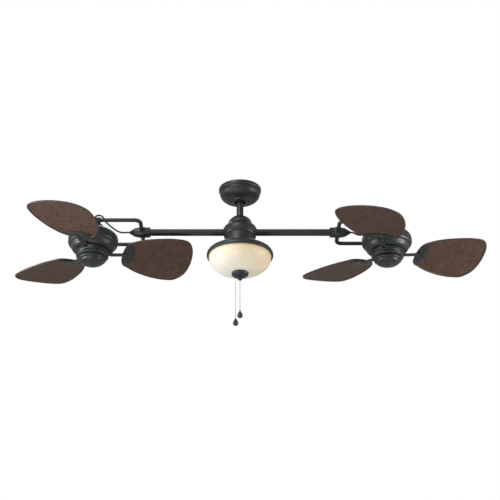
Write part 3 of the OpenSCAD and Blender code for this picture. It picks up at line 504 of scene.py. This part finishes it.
def etched_glass(colours):
    """Etched and washed glass of the bowl: cream and cloudy, warmer towards its rim, with a
    painted light that leaves its −X side lighter and its +X side deeper. A painted glow of its
    own colour makes it give off a little light, though it is no lamp."""
    # The emission is a painted glow: the glass gives off a little light of its own tone
    tree, shader = new_material("etched_glass", {
        "Roughness": 0.5, "Coat Weight": 0.1, "Coat Roughness": 0.5, "Emission Strength": 0.06})
    place = add(tree, "TexCoord").outputs["Object"]
    split = add(tree, "SeparateXYZ", {"Vector": place})
    cloud = add(tree, "TexNoise", {"Vector": place, "Scale": 1000 / 70, "Detail": 4.0,
                                   "Roughness": 0.5, "Distortion": 0.8})
    # 0 at the bowl's bottom and 1 near its rim, whose heights are in metres
    bottom, rim = -0.360, -0.300
    rise = add(tree, "MapRange", {"Value": split.outputs["Z"],
                                  "From Min": bottom, "From Max": rim})
    warmth = add(tree, "Math", {0: rise, 1: 0.45}, operation="MULTIPLY")
    swirl = add(tree, "Math", {0: cloud, 1: 0.7}, operation="MULTIPLY")
    both = add(tree, "Math", {0: warmth, 1: swirl}, operation="ADD")
    # Painted light: the tone deepens towards +X, so the −X side shows lighter, as if lit from
    # that side
    painted_side_light = add(tree, "Math", {0: split.outputs["X"], 1: 2.4, 2: both},
                operation="MULTIPLY_ADD")
    tone = add(tree, "ValToRGB", {"Fac": painted_side_light}, [(0.25, linear(colours.glass)),
                                                  (0.85, linear(colours.glass_deep))])
    feed(shader, {"Base Color": tone, "Emission Color": tone})


def woven_palm(colours):
    """Flat palm strands in a basket weave, stained dark brown and sealed. The UV map is in
    millimetres over the blade. In every other square the strands run along the blade, and
    across it in the rest. They are rounded in pairs, with a painted shade in the groove
    between pairs, and each has its own tone."""
    sizes = bpy.context.scene.fan_sizes
    tree, shader = new_material("woven_palm", {"Roughness": 0.55, "Specular IOR Level": 0.3})
    uv = add(tree, "UVMap", uv_map="blade_mm")
    split = add(tree, "SeparateXYZ", {"Vector": uv})
    u, v = split.outputs["X"], split.outputs["Y"]
    row, column = (
        add(tree, "Math", {0: add(tree, "Math", {0: way, 1: sizes.weave_block},
                                  operation="DIVIDE")}, operation="FLOOR")
        for way in (u, v))
    # 0 where the strands run along the blade and 1 where they run across it
    both = add(tree, "Math", {0: row, 1: column}, operation="ADD")
    turned = add(tree, "Math", {0: both, 1: 2.0}, operation="FLOORED_MODULO")

    # Each strand's number in its square and the square's place along it give its tone
    across = add(tree, "Mix", {0: turned, 2: v, 3: u}, data_type="FLOAT")
    count = add(tree, "Math", {0: across, 1: sizes.strand}, operation="DIVIDE")
    number = add(tree, "Math", {0: count}, operation="FLOOR")
    square = add(tree, "Mix", {0: turned, 2: row, 3: column}, data_type="FLOAT")
    strand = add(tree, "CombineXYZ", {"X": number, "Y": turned, "Z": square})
    tint = add(tree, "TexWhiteNoise", {"Vector": strand}, noise_dimensions="3D")

    # Stain lies in soft patches of about 45 mm, with a fibre grain of 1 mm across the strand
    # and 8 mm along it
    patch = add(tree, "TexNoise", {"Vector": uv, "Scale": 1 / 45, "Detail": 3.0,
                                   "Roughness": 0.5})
    fibre = 0.12
    long_u, long_v = (add(tree, "Math", {0: way, 1: fibre}, operation="MULTIPLY")
                      for way in (u, v))
    grain_at = add(tree, "CombineXYZ", {
        "X": add(tree, "Mix", {0: turned, 2: long_u, 3: u}, data_type="FLOAT"),
        "Y": add(tree, "Mix", {0: turned, 2: v, 3: long_v}, data_type="FLOAT")})
    grain = add(tree, "TexNoise", {"Vector": grain_at, "Scale": 1.0, "Detail": 2.0})

    # The strand's own tone, the stain and the grain each have their share
    tone = 0.0
    for source, share in ((grain, 0.2), (patch, 0.3), (tint, 0.25)):
        tone = add(tree, "Math", {0: source, 1: share, 2: tone}, operation="MULTIPLY_ADD")
    colour = add(tree, "ValToRGB", {"Fac": tone}, [(0.18, linear(colours.wicker_dark)),
                                                   (0.58, linear(colours.wicker_light))])
    # A painted shade: a dark line in the groove where two pairs of strands meet
    pair = add(tree, "Math", {0: count, 1: 1.0}, operation="PINGPONG")
    groove_shade = add(tree, "ValToRGB", {"Fac": pair}, [(0.0, (0.6, 0.6, 0.6, 1)),
                                                 (0.25, (1, 1, 1, 1))])
    shade = add(tree, "Mix", {0: 1.0, 6: colour, 7: groove_shade}, data_type="RGBA",
                blend_type="MULTIPLY")
    bump = add(tree, "Bump", {"Height": pair, "Strength": 0.4, "Distance": 0.0006})
    feed(shader, {"Base Color": shade.outputs[2], "Normal": bump})


# Finish of each CAD node in the middle of the fan, and of those on each head
NODE_FINISH = {
    "ceiling_bracket": "zinc_plate", "hanger_ball": "moulded_nylon", "downrod": "bronze_paint",
    "rod_pins": "zinc_plate", "canopy": "bronze_paint", "canopy_ring": "bronze_paint",
    "canopy_screws": "bronze_paint", "centre_frame": "cast_aluminium",
    "dome_cover": "bronze_paint", "switch_housing": "bronze_paint", "left_arm": "bronze_paint",
    "right_arm": "bronze_paint", "arm_screws": "zinc_plate", "light_pan": "bronze_paint",
    "lamp_holders": "glazed_porcelain", "bulbs": "frosted_lamp", "glass_bowl": "etched_glass",
    "bowl_washer": "soft_rubber", "centre_rod": "antique_brass", "bowl_cap": "bronze_paint",
    "cap_knob": "bronze_paint", "pull_switches": "moulded_nylon",
    "fan_chain": "antique_brass", "light_chain": "antique_brass",
    "fan_pendant": "bronze_paint", "light_pendant": "bronze_paint",
}
HEAD_FINISH = {
    "knuckle": "bronze_paint", "lock_ring": "bronze_paint", "fork": "bronze_paint",
    "pivot_studs": "zinc_plate", "tilt_knobs": "bronze_paint", "cable": "cable_pvc",
    "upper_shell": "bronze_paint", "lower_shell": "bronze_paint", "stator": "laminated_steel",
    "rotor": "laminated_steel", "shaft": "turned_steel", "bearings": "turned_steel",
    "flywheel": "bronze_paint", "blade_irons": "bronze_paint", "blades": "woven_palm",
    "blade_screws": "bronze_paint", "nose_cap": "bronze_paint",
}


class FAN_OT_finishes(Operator):
    """Makes the finishes and gives each CAD node its own"""

    bl_idname = "fan.finishes"
    bl_label = "Finishes"

    def execute(self, context):
        make_materials(context.scene.fan_colours)
        finish = dict(NODE_FINISH)
        for side in SIDES:
            finish.update({f"{side}_{part}": name for part, name in HEAD_FINISH.items()})
        for node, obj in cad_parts.items():
            for slot in obj.material_slots:
                slot.material = bpy.data.materials[finish[node]]
        return {"FINISHED"}


# ---- blades ---------------------------------------------------------------------------


def camber_fall(v):
    """How far the blade's face falls away from its middle line at the distance v."""
    return CAMBER_RADIUS - np.sqrt(CAMBER_RADIUS**2 - v**2)


def leaf_outline(inset, count):
    """The leaf's outline, drawn in by inset, as count points (along, across)."""
    p = smooth_curve(LEAF, 16, True) / 100 * [BLADE_LENGTH, BLADE_WIDTH]
    centre = np.array([BLADE_LENGTH / 2, 0.0])
    half = np.array([BLADE_LENGTH / 2, BLADE_WIDTH / 2])
    return spread(centre + (p - centre) * (half - inset) / half, count, True)


def panel_grid(count):
    """A square grid stretched over the leaf. Rows follow the length, closer at the two ends,
    and each row runs from the leading edge to the trailing edge."""
    p = leaf_outline(PANEL_INSET, 1200)
    tip, root = np.argmax(p[:, 0]), np.argmin(p[:, 0])
    first, last = min(tip, root), max(tip, root)
    halves = [p[first:last + 1], np.vstack([p[last:], p[:first + 1]])]
    halves = [h[np.argsort(h[:, 0])] for h in halves]
    halves.sort(key=lambda h: h[:, 1].mean())
    share = (1 - np.cos(np.linspace(0.02, 0.98, count) * np.pi)) / 2
    along = p[root, 0] + (p[tip, 0] - p[root, 0]) * share
    low, high = (np.interp(along, h[:, 0], h[:, 1]) for h in halves)
    across = np.linspace(0, 1, count)[None, :]
    v = low[:, None] + (high - low)[:, None] * across
    return np.repeat(along[:, None], count, axis=1), v


def basket_height(u, v, block, relief):
    """Height of the basket weave: each square is a low crown that dips at its four sides,
    |sin(pi u / block) sin(pi v / block)| to the power 0.6, and every other square is half as
    high as the rest."""
    a, b = u / block, v / block
    hump = (np.abs(np.sin(np.pi * a)) * np.abs(np.sin(np.pi * b)))**0.6
    crown = np.where((np.floor(a) + np.floor(b)) % 2 > 0.5, 1.0, 0.5)
    return relief * (hump * crown - 0.35)


def blade_panel(name, place, sizes, count=150):
    """The woven panel: an upper and a lower face, one grid each, joined along their edges."""
    u, v = panel_grid(count)
    rise = basket_height(u, v, sizes.weave_block, sizes.weave_relief)
    fall = camber_fall(v)
    half = PANEL_THICKNESS / 2 - RELIEF_ROOM
    upper = np.stack([u, v, half + rise - fall], axis=-1)
    lower = np.stack([u, v, -half - rise - fall], axis=-1)
    n = count * count
    faces = grid_faces(count, count, False, False)
    # The grid's edge, once round
    edge = np.concatenate([np.arange(count), np.arange(1, count) * count + count - 1,
                           (count - 1) * count + np.arange(count - 2, -1, -1),
                           np.arange(count - 2, 0, -1) * count])
    after = np.roll(edge, -1)
    wall = np.column_stack([edge, after, after + n, edge + n])
    # The grid's rows go outwards and its columns to the trailing edge, so its faces point
    # down, and those of the upper face are turned round
    faces = np.vstack([faces[:, ::-1], faces + n, wall])
    obj = mesh_object(name, np.concatenate([upper.reshape(-1, 3), lower.reshape(-1, 3)]), faces,
                      place, sharp=60.0)
    layer = obj.data.uv_layers.new(name="blade_mm")
    index = np.empty(len(obj.data.loops), dtype=np.int32)
    obj.data.loops.foreach_get("vertex_index", index)
    flat = np.tile(np.stack([u.ravel(), v.ravel()], axis=-1) + UV_SHIFT, (2, 1))
    layer.data.foreach_set("uv", flat[index].ravel().astype(np.float32))
    return obj


def blade_rim(name, place):
    """The rim: a rounded square section carried round the leaf's outline, bent with it."""
    line = leaf_outline(RIM_WIDTH / 2, 420)
    path = np.column_stack([line, -camber_fall(line[:, 1])])
    section = ring(14, 0.62) * [RIM_WIDTH / 2, RIM_THICKNESS / 2]
    return sweep(name, path, section, place, closed=True, up=(0, 0, 1))


class FAN_OT_blades(Operator):
    """Weaves the six blades"""

    bl_idname = "fan.blades"
    bl_label = "Blades"

    def execute(self, context):
        sizes = context.scene.fan_sizes
        for side in SIDES:
            for index in range(BLADES):
                place = at_blade(side, index)
                panel = blade_panel(f"{side}_blade_{index}_weave", place, sizes)
                rim = blade_rim(f"{side}_blade_{index}_rim", place)
                dress(panel, "woven_palm", f"{side}_rotor_set", f"{side}_blades")
                dress(rim, "stained_cane", f"{side}_rotor_set", f"{side}_blades")
        return {"FINISHED"}


# ---- turned pieces --------------------------------------------------------------------


def walled(outline, wall):
    """A closed outline from a function that gives the outer line drawn in by a distance."""
    return join(outline(0.0), outline(wall)[::-1])


def canopy_line(w):
    """Canopy: a band at the ceiling, a groove and a full bowl, from the ceiling down."""
    return join((CANOPY_R - w, 0), arc(CANOPY_R - 7, -9, 7 - w, 7 - w / 2, 0, -60, 10),
                (CANOPY_R - 5.5 - w, -16.5 - w / 3),
                arc(30, -20, CANOPY_R - 34 - w, 33.5 - w, 0, -68, 24),
                (36, -CANOPY_H - 1.6 + w), (28, -CANOPY_H + w), (20.4, -CANOPY_H + w))


def dome_line(w):
    """Dome cover: a small dome over a rounded shoulder, from the rod down."""
    return join((13.7, DOME_H - w), (15.35, DOME_H - w),
                arc(11, DOME_H - 36, 36 - w, 35 - w, 78, 4, 24),
                (DOME_R - 13.5 - w, 29.5), (DOME_R - 13.5 - w, 27.8),
                arc(DOME_R - 34, 4, 35.5 - w, 28.5 - w, 58, 0, 18),
                (DOME_R + 1.5 - w, -2), (DOME_R - 3 - w, -SEAM_DROP))


def nose_line(w):
    """Nose cap: a collar, two rolled rings with deep grooves and a bowl with a small tip."""
    r, top, z = NOSE_R, ROTOR_BOTTOM, NOSE_BOTTOM
    return join((r - 1.5 - w, top), (r - 4.5 - w, top - 3.5),
                arc(r - 5.5, top - 11, 5.5 - w, 5.2 - w / 2, 72, -78, 16),
                (r - 10.5 - w, top - 18.2),
                arc(r - 14, top - 24, 5.5 - w, 5 - w / 2, 72, -78, 16),
                (r - 16.5 - w, top - 30.8),
                arc(0, top - 31.5, r - 17 - w, 14.8 - w, -2, -78, 24),
                (7 - w / 2, z + 1.2 + w), (5, z + w), (0, z + w))


def lower_line(w):
    """Motor's lower shell: a lip, a step and a bowl down to the foot."""
    return join((MOTOR_R - 1 - w, BAND_Z), arc(MOTOR_R - 25, BAND_Z - 1, 24 - w, 16 - w, 0, -48),
                (MOTOR_R - 11 - w, BAND_Z - 14 - w / 3),
                arc(FOOT_R - 4, MOTOR_BOTTOM + 15, MOTOR_R - FOOT_R - 10 - w, 15 - w, -8, -72),
                (FOOT_R - 2 - w, MOTOR_BOTTOM + w), (10, MOTOR_BOTTOM + w))


def pan_line():
    """Light pan: a full flare that rolls into the rim, with a ledge inside for the glass."""
    r, z, foot = PAN_R, HOUSING_BOTTOM, PAN_BOTTOM

    def flare(w):
        return join((59.1, z + 0.8 - w), (66, z + 0.8 - w),
                    arc(r - 46.5, z - 25, 46.5 - w, 25.5 - w, 96, 3, 24))
    return join(flare(0.0), (r, foot + 3), (r - 0.6, foot + 0.9), (r - 2, foot),
                (GLASS_R + 0.5, foot), (GLASS_R + 0.5, foot + 6), (GLASS_R - 7.5, foot + 6),
                (GLASS_R - 7.5, foot + 8), (r - 3, foot + 8), flare(COVER_WALL)[::-1],
                (20, z - COVER_WALL), (20, z))


# The canopy's ring, from its lower inner edge, and a pendant, from its lowest point
RING_OUTLINE = join((21.4, -9), (21.4, -7), (26, -6.5), (31.5, 0),
                    arc(30, -2, 4, 2, 60, 0, 8), arc(25, -2, 8, 6, -15, -80, 14))
PENDANT_LINE = join((0, 0), (2, 0), arc(0, 10.5, 10.5, 10, -75, 20, 16),
                    smooth_curve([(9.87, 13.9), (7.56, 19.2), (4.2, 25), (2.2, 28.8)], 6, False),
                    (2, 31), (1.4, 32), (0, 32))


class FAN_OT_turned(Operator):
    """Turns the canopy, its ring, the dome, the pan, the pendants, noses and lower shells"""

    bl_idname = "fan.turned"
    bl_label = "Turned pieces"

    def execute(self, context):
        dress_metal(lathe("canopy_turned", walled(canopy_line, COVER_WALL)), "frame", "canopy")
        dress_metal(lathe("canopy_ring_turned", RING_OUTLINE, shifted(0, 0, -CANOPY_H)),
                    "frame", "canopy_ring")
        dress_metal(lathe("dome_turned", walled(dome_line, COVER_WALL), at_arm()),
                    "frame", "dome_cover")
        dress_metal(lathe("pan_turned", pan_line(), at_arm()), "frame", "light_pan")
        for name in ("fan", "light"):
            low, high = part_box(f"{name}_pendant")
            place = Matrix.Translation(((low[0] + high[0]) / 2, (low[1] + high[1]) / 2, low[2]))
            dress_metal(lathe(f"{name}_pendant_turned", PENDANT_LINE, place, segments=64),
                        f"{name}_pull", f"{name}_pendant")
        for side in SIDES:
            head = at_head(side)
            dress_metal(lathe(f"{side}_nose_turned", walled(nose_line, MOTOR_WALL), head),
                        f"{side}_rotor_set", f"{side}_nose_cap")
            dress_metal(lathe(f"{side}_lower_turned", walled(lower_line, MOTOR_WALL), head),
                        f"{side}_motor", f"{side}_lower_shell")
        return {"FINISHED"}


# ---- forks, knuckles and irons --------------------------------------------------------


def fork_line():
    """Middle line of the bent bar, from one eye through the knuckle to the other."""
    side, bend = FORK_SPAN / 2, FORK_BEND
    half = join((EYE_D / 2 + 6, side), (EYE_D / 2 + 40, side),
                arc(FORK_LENGTH - bend, side - bend, bend, bend, 90, 0, 14),
                (FORK_LENGTH, side / 3))
    flat = join(half, (half * [1, -1])[::-1])
    return np.column_stack([flat, np.zeros(len(flat))])


# The knuckle: a socket for the arm, a rolled ring, a long swell and the cable's hole in
# its tip
KNUCKLE_LINE = join(
    (0, -8.6), (PIPE_R + 0.05, -8.6), (PIPE_R + 0.05, -KNUCKLE_IN), (18.5, -KNUCKLE_IN),
    arc(18.5, -19.8, 2.2, 3.2, -70, 70, 8),
    smooth_curve([(18.6, -15.5), (21.2, -12), (22.2, -5), (21.6, 3), (19.8, 11), (18.3, 19),
                  (16.6, 27), (12.6, 34), (8.2, 41), (5.4, KNUCKLE_OUT)], 5, False),
    (3.4, KNUCKLE_OUT), (3.4, 30), (0, 30))


def ferrule_line():
    """Three ribs where the bar enters the eye, from the bar's axis outwards."""
    pitch, count = 7.0, 3
    inner, crest, start = FORK_BAR / 2 - 1, FORK_BAR / 2 + 2, EYE_D / 2 + 2
    ribs = [join((crest, at + 0.6), arc(crest, at + pitch / 2, 2, 2.9, -75, 75, 8),
                 (crest, at + pitch - 0.6)) for at in start + pitch * np.arange(count)]
    return join((inner, start), *ribs, (inner, start + count * pitch))


def iron_bar(name, place):
    """The iron's bar, from the disc's slot out to the plate. Each ring is a rounded
    rectangle. The bar rises in one straight line. It is wider and thicker once it is free of
    the disc, and thinner again under the plate."""
    x = np.concatenate([np.linspace(IRON_START, IRON_FREE - 1, 6),
                        np.linspace(IRON_FREE + 1, BLADE_ROOT + 14, 26)])[:, None]
    free = between(x, IRON_FREE, IRON_FREE + 6)
    under = between(x, BLADE_ROOT - 4, BLADE_ROOT + 10)
    middle = IRON_Z + IRON_RISE * between(x, IRON_FREE + 5, BLADE_ROOT + 2)
    width = IRON_SLOT_W + (IRON_W - IRON_SLOT_W) * free
    thickness = IRON_SLOT_T + (IRON_T - IRON_SLOT_T) * free - (IRON_T - IRON_END_T) * under
    across, up = ring(24, 0.55).T
    grid = np.stack(np.broadcast_arrays(x, width / 2 * across, middle + thickness / 2 * up),
                    axis=-1)
    first = np.arange(len(up))
    faces = grid_faces(len(x), len(up), False, True).tolist()
    faces += [first[::-1], first + (len(x) - 1) * len(up)]
    return mesh_object(name, grid, faces, place, sharp=50.0)


def iron_plate(name, place):
    """The oval plate under the blade's root, bent with it and a little crowned below. At r,
    from 0 in its middle to 1 at its edge, it is edge + (thickness - edge) (1 - r^8)
    + crown (1 - r^2) thick, which rounds the edge."""
    rings, around = 13, 72
    r = np.sin(np.linspace(0, 1, rings + 1) * np.pi / 2)[1:, None]
    cosine, sine = ring(around).T
    middle, seat_middle = PLATE_START + PLATE_L / 2, -RIM_THICKNESS / 2 - PLATE_GAP
    u = middle + PLATE_L / 2 * r * cosine
    v = PLATE_W / 2 * r * sine
    seat = seat_middle - camber_fall(v)
    depth = PLATE_EDGE + (PLATE_T - PLATE_EDGE) * (1 - r**8) + PLATE_CROWN * (1 - r**2)
    top, low = (np.stack([u, v, z], axis=-1).reshape(-1, 3) for z in (seat, seat - depth))
    points = np.vstack([top, low, [[middle, 0, seat_middle],
                                   [middle, 0, seat_middle - PLATE_T - PLATE_CROWN]]])
    n = len(top)
    quads = grid_faces(rings, around, False, True)
    k = np.arange(around)
    k2 = (k + 1) % around
    outer = (rings - 1) * around
    faces = (quads[:, ::-1].tolist() + (quads + n).tolist()
             + np.column_stack([np.full(around, 2 * n), k, k2]).tolist()
             + np.column_stack([np.full(around, 2 * n + 1), k2 + n, k + n]).tolist()
             + np.column_stack([outer + k2, outer + k, outer + n + k, outer + n + k2]).tolist())
    return mesh_object(name, points, faces, place, sharp=45.0)


class FAN_OT_forks(Operator):
    """Bends the forks, turns the knuckles and forges the blade irons"""

    bl_idname = "fan.forks"
    bl_label = "Forks and irons"

    def execute(self, context):
        bar = FORK_BAR / 2 * ring(32)
        eye = join((PIVOT_R, -EYE_T / 2), (EYE_D / 2, -EYE_T / 2),
                   (EYE_D / 2, EYE_T / 2), (PIVOT_R, EYE_T / 2))
        for side in SIDES:
            head, body, fork = at_head(side), f"{side}_fork_frame", f"{side}_fork"
            dress_metal(sweep(f"{side}_fork_bar", fork_line(), bar, head, up=(0, 0, 1)),
                        body, fork)
            for k in (-1, 1):
                leg = head @ shifted(0, k * FORK_SPAN / 2, 0)
                dress_metal(lathe(f"{side}_ferrule_{k + 1}", ferrule_line(),
                                  leg @ rotated(90, "Y"), segments=64), body, fork)
                dress_metal(lathe(f"{side}_eye_{k + 1}", eye, leg @ rotated(90, "X"), 1.2, 64),
                            body, fork)
            place = head @ shifted(FORK_LENGTH, 0, 0) @ rotated(-90, "Y")
            dress_metal(lathe(f"{side}_knuckle_turned", KNUCKLE_LINE, place, 0.4, 96),
                        body, f"{side}_knuckle")
            for index in range(BLADES):
                for piece in (iron_bar(f"{side}_iron_{index}_bar", at_iron(side, index)),
                              iron_plate(f"{side}_iron_{index}_plate", at_blade(side, index))):
                    dress_metal(piece, f"{side}_rotor_set", f"{side}_blade_irons")
        return {"FINISHED"}


# ---- cables and chains ----------------------------------------------------------------


def on_span(share, z):
    """A point (out, up) of a cable at a share of the way from the motor's neck to the
    knuckle's tip."""
    span = FORK_LENGTH - KNUCKLE_OUT - NECK_SIDE
    return (NECK_SIDE + share * span, z)


# Points (out, up) of each cable from the knuckle's tip to the gland on the motor
ROUTES = {
    "left": [on_span(1, 0), on_span(0.84, 0), on_span(0.68, 0), on_span(0.53, 6),
             on_span(0.37, 17), on_span(0.22, 30), on_span(0.09, 43), (38, 57), (29, 70),
             (15, 75.5), (3, 69.5), (0, 61), (0, 57), (0, CABLE_END)],
    "right": [on_span(1, 0), on_span(0.94, 0), on_span(0.86, -2.5), on_span(0.73, -9),
              on_span(0.6, -11), on_span(0.47, -6), on_span(0.33, 3), on_span(0.19, 18),
              on_span(0.09, 34), (38, 50), (29, 66), (15, 73), (3, 68), (0, 61), (0, 57),
              (0, CABLE_END)],
}


class FAN_OT_cables(Operator):
    """Lays the two supply cables from the knuckles to the motors"""

    bl_idname = "fan.cables"
    bl_label = "Cables"

    def execute(self, context):
        radius = context.scene.fan_sizes.cable_diameter / 2
        section = radius * ring(16)
        for side in SIDES:
            flat = spread(smooth_curve(ROUTES[side], 12, False), 90)
            line = np.column_stack([flat[:, 0], np.zeros(len(flat)), flat[:, 1]])
            place = at_head(side)
            cable = sweep(f"{side}_supply_cable", line, section, place)
            dress(cable, "cable_pvc", f"{side}_fork_frame", f"{side}_cable")
            # A piece that blends between two bodies hangs on neither
            cable.parent = None
            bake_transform(cable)
        return {"FINISHED"}


class FAN_OT_chains(Operator):
    """Strings the two bead chains"""

    bl_idname = "fan.chains"
    bl_label = "Chains"

    def execute(self, context):
        sizes = context.scene.fan_sizes
        radius = sizes.bead_diameter / 2
        bead = arc(0, 0, radius, radius, -80, 80, 6)
        for name in ("fan", "light"):
            low, high = (np.array(c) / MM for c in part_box(f"{name}_chain"))
            count = int((high[2] - low[2]) / sizes.bead_pitch)
            at = low[2] + (np.arange(count) + 0.5) * (high[2] - low[2]) / count
            line = (bead[None] + np.column_stack([np.zeros(count), at])[:, None]).reshape(-1, 2)
            outline = join((0, low[2]), (0.4, low[2]), line, (0.4, high[2]), (0, high[2]))
            x, y = (low + high)[:2] / 2
            chain = lathe(f"{name}_bead_chain", outline, shifted(x, y, 0), 0, 10)
            dress(chain, "antique_brass", f"{name}_pull", f"{name}_chain")
        return {"FINISHED"}


# ---- stage ----------------------------------------------------------------------------


# The camera's distance from the middle of the arms in metres, its angle below them and the
# angle at which it looks up, in degrees
CAMERA_DISTANCE = 4.605
CAMERA_ELEVATION = 27.1
CAMERA_TILT = 26.257
# Lens and sensor in millimetres, and the shift that frames the fan as the photograph does
CAMERA_LENS = 86.57
CAMERA_SENSOR = 36
CAMERA_SHIFT = (0.0200, 0.0004)
# How far the camera sees, in metres
CAMERA_REACH = 80

# Each lamp's name, place and side in metres, and power in watts. The two side lamps stand
# near their own heads.
LAMPS = (
    ("key", (-1.9, -3.3, 2.1), 2.4, 100),
    ("side_left", (-1.82, -0.42, -0.62), 0.75, 24),
    ("side_right", (1.82, -0.40, -0.58), 0.75, 21),
    ("below", (-1.5, -1.9, -2.5), 2.4, 34),
    ("back", (-0.4, 2.4, 2.6), 2.2, 34),
)
# What all the lamps point at
LAMP_AIM = (0, 0, -0.2)

# How strongly the white world lights the fan
WORLD_LIGHT = 0.40

# The floor's height and half its side in millimetres, and how much it is lifted in tone for
# the camera
FLOOR_Z = -5200
FLOOR_REACH = 18000
FLOOR_LIFT = 0.5
FLOOR_PAPER = "#f4f4f2"


def white_world(scene):
    """A world that is white to the camera and through glass, and a soft light otherwise."""
    world = bpy.data.worlds.new("studio_white")
    scene.world = world
    world.use_nodes = True
    tree = world.node_tree
    tree.nodes.clear()
    path = add(tree, "LightPath")
    seen = add(tree, "Math", {0: path.outputs["Is Camera Ray"],
                              1: path.outputs["Is Transmission Ray"]}, operation="MAXIMUM")
    strength = add(tree, "MapRange", {"Value": seen, "To Min": WORLD_LIGHT, "To Max": 1.0})
    back = add(tree, "Background", {"Color": (1, 1, 1, 1), "Strength": strength})
    add(tree, "OutputWorld", {"Surface": back})


def place_camera(scene):
    """The camera at the photograph's angle: from below the arms, looking up."""
    below = math.radians(CAMERA_ELEVATION)
    camera = bpy.data.objects.new("camera", bpy.data.cameras.new("camera"))
    camera.location = (0, -CAMERA_DISTANCE * math.cos(below),
                       -ARM_DROP * MM - CAMERA_DISTANCE * math.sin(below))
    camera.rotation_euler = (math.pi / 2 + math.radians(CAMERA_TILT), 0, 0)
    camera.data.lens = CAMERA_LENS
    camera.data.sensor_width = CAMERA_SENSOR
    camera.data.shift_x, camera.data.shift_y = CAMERA_SHIFT
    camera.data.clip_end = CAMERA_REACH
    bpy.context.collection.objects.link(camera)
    scene.camera = camera


def hang_lamps():
    """Square soft lamps that the camera doesn't see."""
    for name, at, size, power in LAMPS:
        lamp = bpy.data.lights.new(name, "AREA")
        lamp.size = size
        lamp.energy = power
        obj = bpy.data.objects.new(name, lamp)
        obj.location = at
        look = Vector(LAMP_AIM) - Vector(at)
        obj.rotation_euler = look.to_track_quat("-Z", "Y").to_euler()
        obj.visible_camera = False
        bpy.context.collection.objects.link(obj)


def lay_floor():
    """A pale paper floor far below the fan, so that it hides nothing from below."""
    reach, z = FLOOR_REACH, FLOOR_Z
    floor = mesh_object("studio_floor", [(-reach, -reach, z), (reach, -reach, z),
                                         (reach, reach, z), (-reach, reach, z)], [(0, 1, 2, 3)])
    paper = linear(FLOOR_PAPER)
    tree, shader = new_material("studio_paper", {
        "Roughness": 0.9, "Base Color": paper, "Emission Color": paper})
    path = add(tree, "LightPath")
    lift = add(tree, "Math", {0: path.outputs["Is Camera Ray"], 1: FLOOR_LIFT},
               operation="MULTIPLY")
    feed(shader, {"Emission Strength": lift})
    floor.data.materials.append(bpy.data.materials["studio_paper"])


class FAN_OT_stage(Operator):
    """Sets the world, the camera, the lamps and the floor"""

    bl_idname = "fan.stage"
    bl_label = "Stage"

    def execute(self, context):
        scene = context.scene
        scene.view_settings.view_transform = "Standard"
        white_world(scene)
        place_camera(scene)
        hang_lamps()
        lay_floor()
        return {"FINISHED"}


class FAN_PT_panel(Panel):
    """Shows the fan's sizes and colours, and a button for each step"""

    bl_label = "Ceiling Fan"
    bl_space_type = "VIEW_3D"
    bl_region_type = "UI"
    bl_category = "Fan"

    def draw(self, context):
        for name in FanSizes.__annotations__:
            self.layout.prop(context.scene.fan_sizes, name)
        for name in FanColours.__annotations__:
            self.layout.prop(context.scene.fan_colours, name)
        for operator in OPERATORS:
            self.layout.operator(operator.bl_idname)


OPERATORS = (FAN_OT_stage, FAN_OT_finishes, FAN_OT_cables, FAN_OT_chains, FAN_OT_turned,
             FAN_OT_forks, FAN_OT_blades)
CLASSES = (FanSizes, FanColours) + OPERATORS + (FAN_PT_panel,)


def register():
    for cls in CLASSES:
        bpy.utils.register_class(cls)
    bpy.types.Scene.fan_sizes = PointerProperty(type=FanSizes)
    bpy.types.Scene.fan_colours = PointerProperty(type=FanColours)


def unregister():
    del bpy.types.Scene.fan_colours
    del bpy.types.Scene.fan_sizes
    for cls in reversed(CLASSES):
        bpy.utils.unregister_class(cls)


def main():
    register()
    for operator in OPERATORS:
        space, name = operator.bl_idname.split(".")
        getattr(getattr(bpy.ops, space), name)()


if __name__ == "__main__":
    main()
